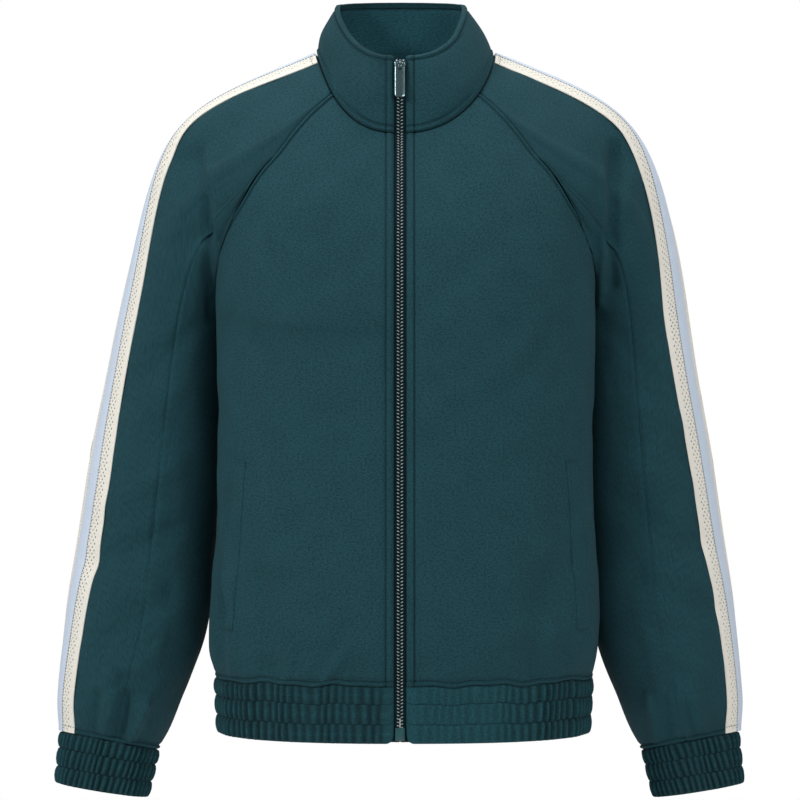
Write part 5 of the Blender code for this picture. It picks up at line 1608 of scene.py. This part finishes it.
def make_tab(place):
    """A tab with a flat front that slopes off to both sides, and a tapered eye that hangs on the bridge."""
    top, bottom = TAB_EYE_BAR / 2, TAB_EYE_BAR / 2 - TAB_LENGTH
    inset = (1 - np.cos(np.linspace(0, np.pi / 2, 7))) * 0.0022
    ys = np.concatenate([top - inset, np.linspace(top - 0.0030, bottom + 0.0030, 36), bottom + inset[::-1]])
    round_tab = np.linspace(0, 2 * np.pi, 41)[:-1]
    rings = []
    for y in ys:
        half = tab_half_width(y, top, bottom)
        x = half * np.sign(np.cos(round_tab)) * np.abs(np.cos(round_tab)) ** 0.85
        front = np.abs(np.sin(round_tab)) ** 0.2 * 0.5 * TAB_THICKNESS
        front = front - BEVEL_SLOPE * np.maximum(np.abs(x) - BEVEL_START * half, 0)
        behind = -0.42 * TAB_THICKNESS * np.abs(np.sin(round_tab)) ** 0.95
        z = np.where(np.sin(round_tab) > 1e-6, front, behind)
        rings.append(np.stack([x, np.full_like(x, y), z], -1))
    grid = np.array(rings)
    rows, columns = grid.shape[:2]
    bm = bmesh.new()
    verts = [[bm.verts.new(point) for point in ring] for ring in grid]
    for i in range(rows - 1):
        for j in range(columns):
            k = (j + 1) % columns
            bm.faces.new((verts[i][j], verts[i][k], verts[i + 1][k], verts[i + 1][j]))
    bm.faces.new(verts[0][::-1])
    bm.faces.new(verts[-1])
    bmesh.ops.recalc_face_normals(bm, faces=bm.faces)
    made = new_piece("pull_tab_metal", mesh_of(bm, "pull_tab_metal"), METAL, 45)
    high, low = -TAB_EYE_BAR / 2, -TAB_EYE_BAR / 2 - TAB_EYE_LENGTH
    eye = [(-0.0023, high), (-0.0016, low + 0.0006), (-0.0010, low), (0.0010, low), (0.0016, low + 0.0006),
           (0.0023, high), (0.0017, high + 0.00001), (-0.0017, high + 0.00001)]
    cutter = new_piece("tab_eye", flat_piece("tab_eye", eye[::-1], -0.003, 0.003, METAL, 0), METAL)
    cut = made.modifiers.new("Eye", "BOOLEAN")
    cut.operation, cut.object, cut.solver = "DIFFERENCE", cutter, "EXACT"
    bpy.context.view_layer.update()
    whole = bpy.data.meshes.new_from_object(made.evaluated_get(bpy.context.evaluated_depsgraph_get()))
    bpy.data.objects.remove(made)
    bpy.data.objects.remove(cutter)
    hang = Matrix.Translation((0, BRIDGE_UP, SLIDER_LIFT + SLIDER_THICKNESS + BRIDGE_ROOM / 2))
    whole.transform(place @ hang)
    made = new_piece("pull_tab_metal", whole, METAL, 45)
    dress(made, "zip_metal", "pull_tab", body="pull_tab")


def make_box():
    """The moulded box at the zip's foot, with a raised block on its face."""
    line = between(ZIP_LINE, BOX_TOP, BOX_BOTTOM)
    rise = line[0] - line[-1]
    turn = math.pi / 2 - math.atan2(rise[1], rise[2])
    middle = (line[0] + line[-1]) / 2
    place = Matrix.Translation(Vector(middle)) @ Matrix.Rotation(turn, 4, "X")
    half, end = BOX_WIDTH / 2, (BOX_TOP - BOX_BOTTOM) / 2
    low = -ZIP_TAPE_DEPTH + 0.0003
    loop = [(-half, -end), (half, -end), (half, end - 0.0008), (half - 0.0008, end), (-half + 0.0008, end),
            (-half, end - 0.0008)]
    body = flat_piece("box", loop, low, low + BOX_THICKNESS, PLASTIC, 0.0009, 3, place)
    ridge = [(-half + 0.0014, -end + 0.0022), (half - 0.0014, -end + 0.0022), (half - 0.0014, end - 0.0022),
             (-half + 0.0014, end - 0.0022)]
    raised = flat_piece("ridge", ridge, low + BOX_THICKNESS - 0.0004, low + BOX_THICKNESS + 0.0003, PLASTIC,
                        0.0003, 2, place)
    made = new_piece("zip_box_plastic", joined("zip_box_plastic", [body, raised]), PLASTIC, 35)
    dress(made, "zip_plastic", "zip_box")


def make_zip():
    for side in (-1, 1):
        make_zip_tape(side)
    make_teeth()
    place = make_slider()
    make_tab(place)
    make_box()


def make_stitches():
    tree = stitch_tree()
    kinds = {
        "teal": (TEAL_THREAD, "knit", 0.0032, 0.0027, 0.00055),
        "cream": (CREAM_THREAD, "eyelet_tape", 0.0032, 0.0027, 0.00055),
        "dark": (DARK_THREAD, "satin_strip", 0.0030, 0.0019, 0.00070),
    }
    for colour, (finish, slot, pitch, length, width) in kinds.items():
        name, sizes = f"{colour}_stitches", {"pitch": pitch, "length": length, "width": width}
        mesh = along_lines(name, tree, THREADS[colour], finish, **sizes)
        dress(new_piece(name, mesh, finish, 180), slot)


make_fronts()
make_back()
make_sleeves()
make_collar()
make_hem()
make_cuffs()
make_stripes()
make_zip()
make_stitches()


# ---------------------------------------------------------------- floor, light and camera

FLOOR_HEIGHT = -1.45


def make_stage():
    bm = bmesh.new()
    bmesh.ops.create_circle(bm, cap_ends=True, segments=96, radius=2.0)
    mesh = mesh_of(bm, "pale_floor")
    finish = Finish("pale_floor", roughness=0.9)
    cloud = finish.noise(6.0, 2.0)
    finish.feed("Base Color", finish.blend(cloud, (0.80, 0.80, 0.79, 1), (0.86, 0.86, 0.85, 1)))
    mesh.transform(Matrix.Translation((0, 0, FLOOR_HEIGHT)))
    new_piece("pale_floor", mesh, finish.material)


def area_light(name, place, target, width, height, power_watts):
    light = bpy.data.lights.new(name, "AREA")
    light.shape, light.size, light.size_y, light.energy = "RECTANGLE", width, height, power_watts
    made = bpy.data.objects.new(name, light)
    made.location = place
    made.rotation_euler = (Vector(target) - Vector(place)).to_track_quat("-Z", "Y").to_euler()
    bpy.context.scene.collection.objects.link(made)


CAMERA_HEIGHT = -0.325
CAMERA_DISTANCE = 3.0


def make_camera():
    camera = bpy.data.cameras.new("camera")
    camera.lens, camera.sensor_width, camera.sensor_fit = 135.0, 36.0, "AUTO"
    made = bpy.data.objects.new("camera", camera)
    made.location, made.rotation_euler = (0, -CAMERA_DISTANCE, CAMERA_HEIGHT), (math.pi / 2, 0, 0)
    bpy.context.scene.collection.objects.link(made)
    bpy.context.scene.camera = made


AMBIENT = 0.40          # of the pale room, as the cloth sees it


def make_light():
    world = bpy.data.worlds.new("pale_studio")
    world.use_nodes = True
    nodes = Nodes(world.node_tree)
    background = world.node_tree.nodes["Background"]
    background.inputs["Color"].default_value = (1.0, 1.0, 1.0, 1.0)
    seen = nodes.add("ShaderNodeLightPath", out="Is Camera Ray")
    strength = seen * (1.0 - AMBIENT) + AMBIENT
    world.node_tree.links.new(strength.output, background.inputs["Strength"])
    bpy.context.scene.world = world
    middle = (0, 0, -0.3)
    area_light("key", (-2.4, -1.7, 1.2), middle, 0.6, 0.9, 50)
    area_light("fill", (1.7, -2.2, 0.8), middle, 1.7, 0.8, 27)
    area_light("top", (0.1, 0.1, 2.1), middle, 0.9, 0.9, 24)
    bpy.context.scene.view_settings.view_transform = "Standard"


make_stage()
make_camera()
make_light()
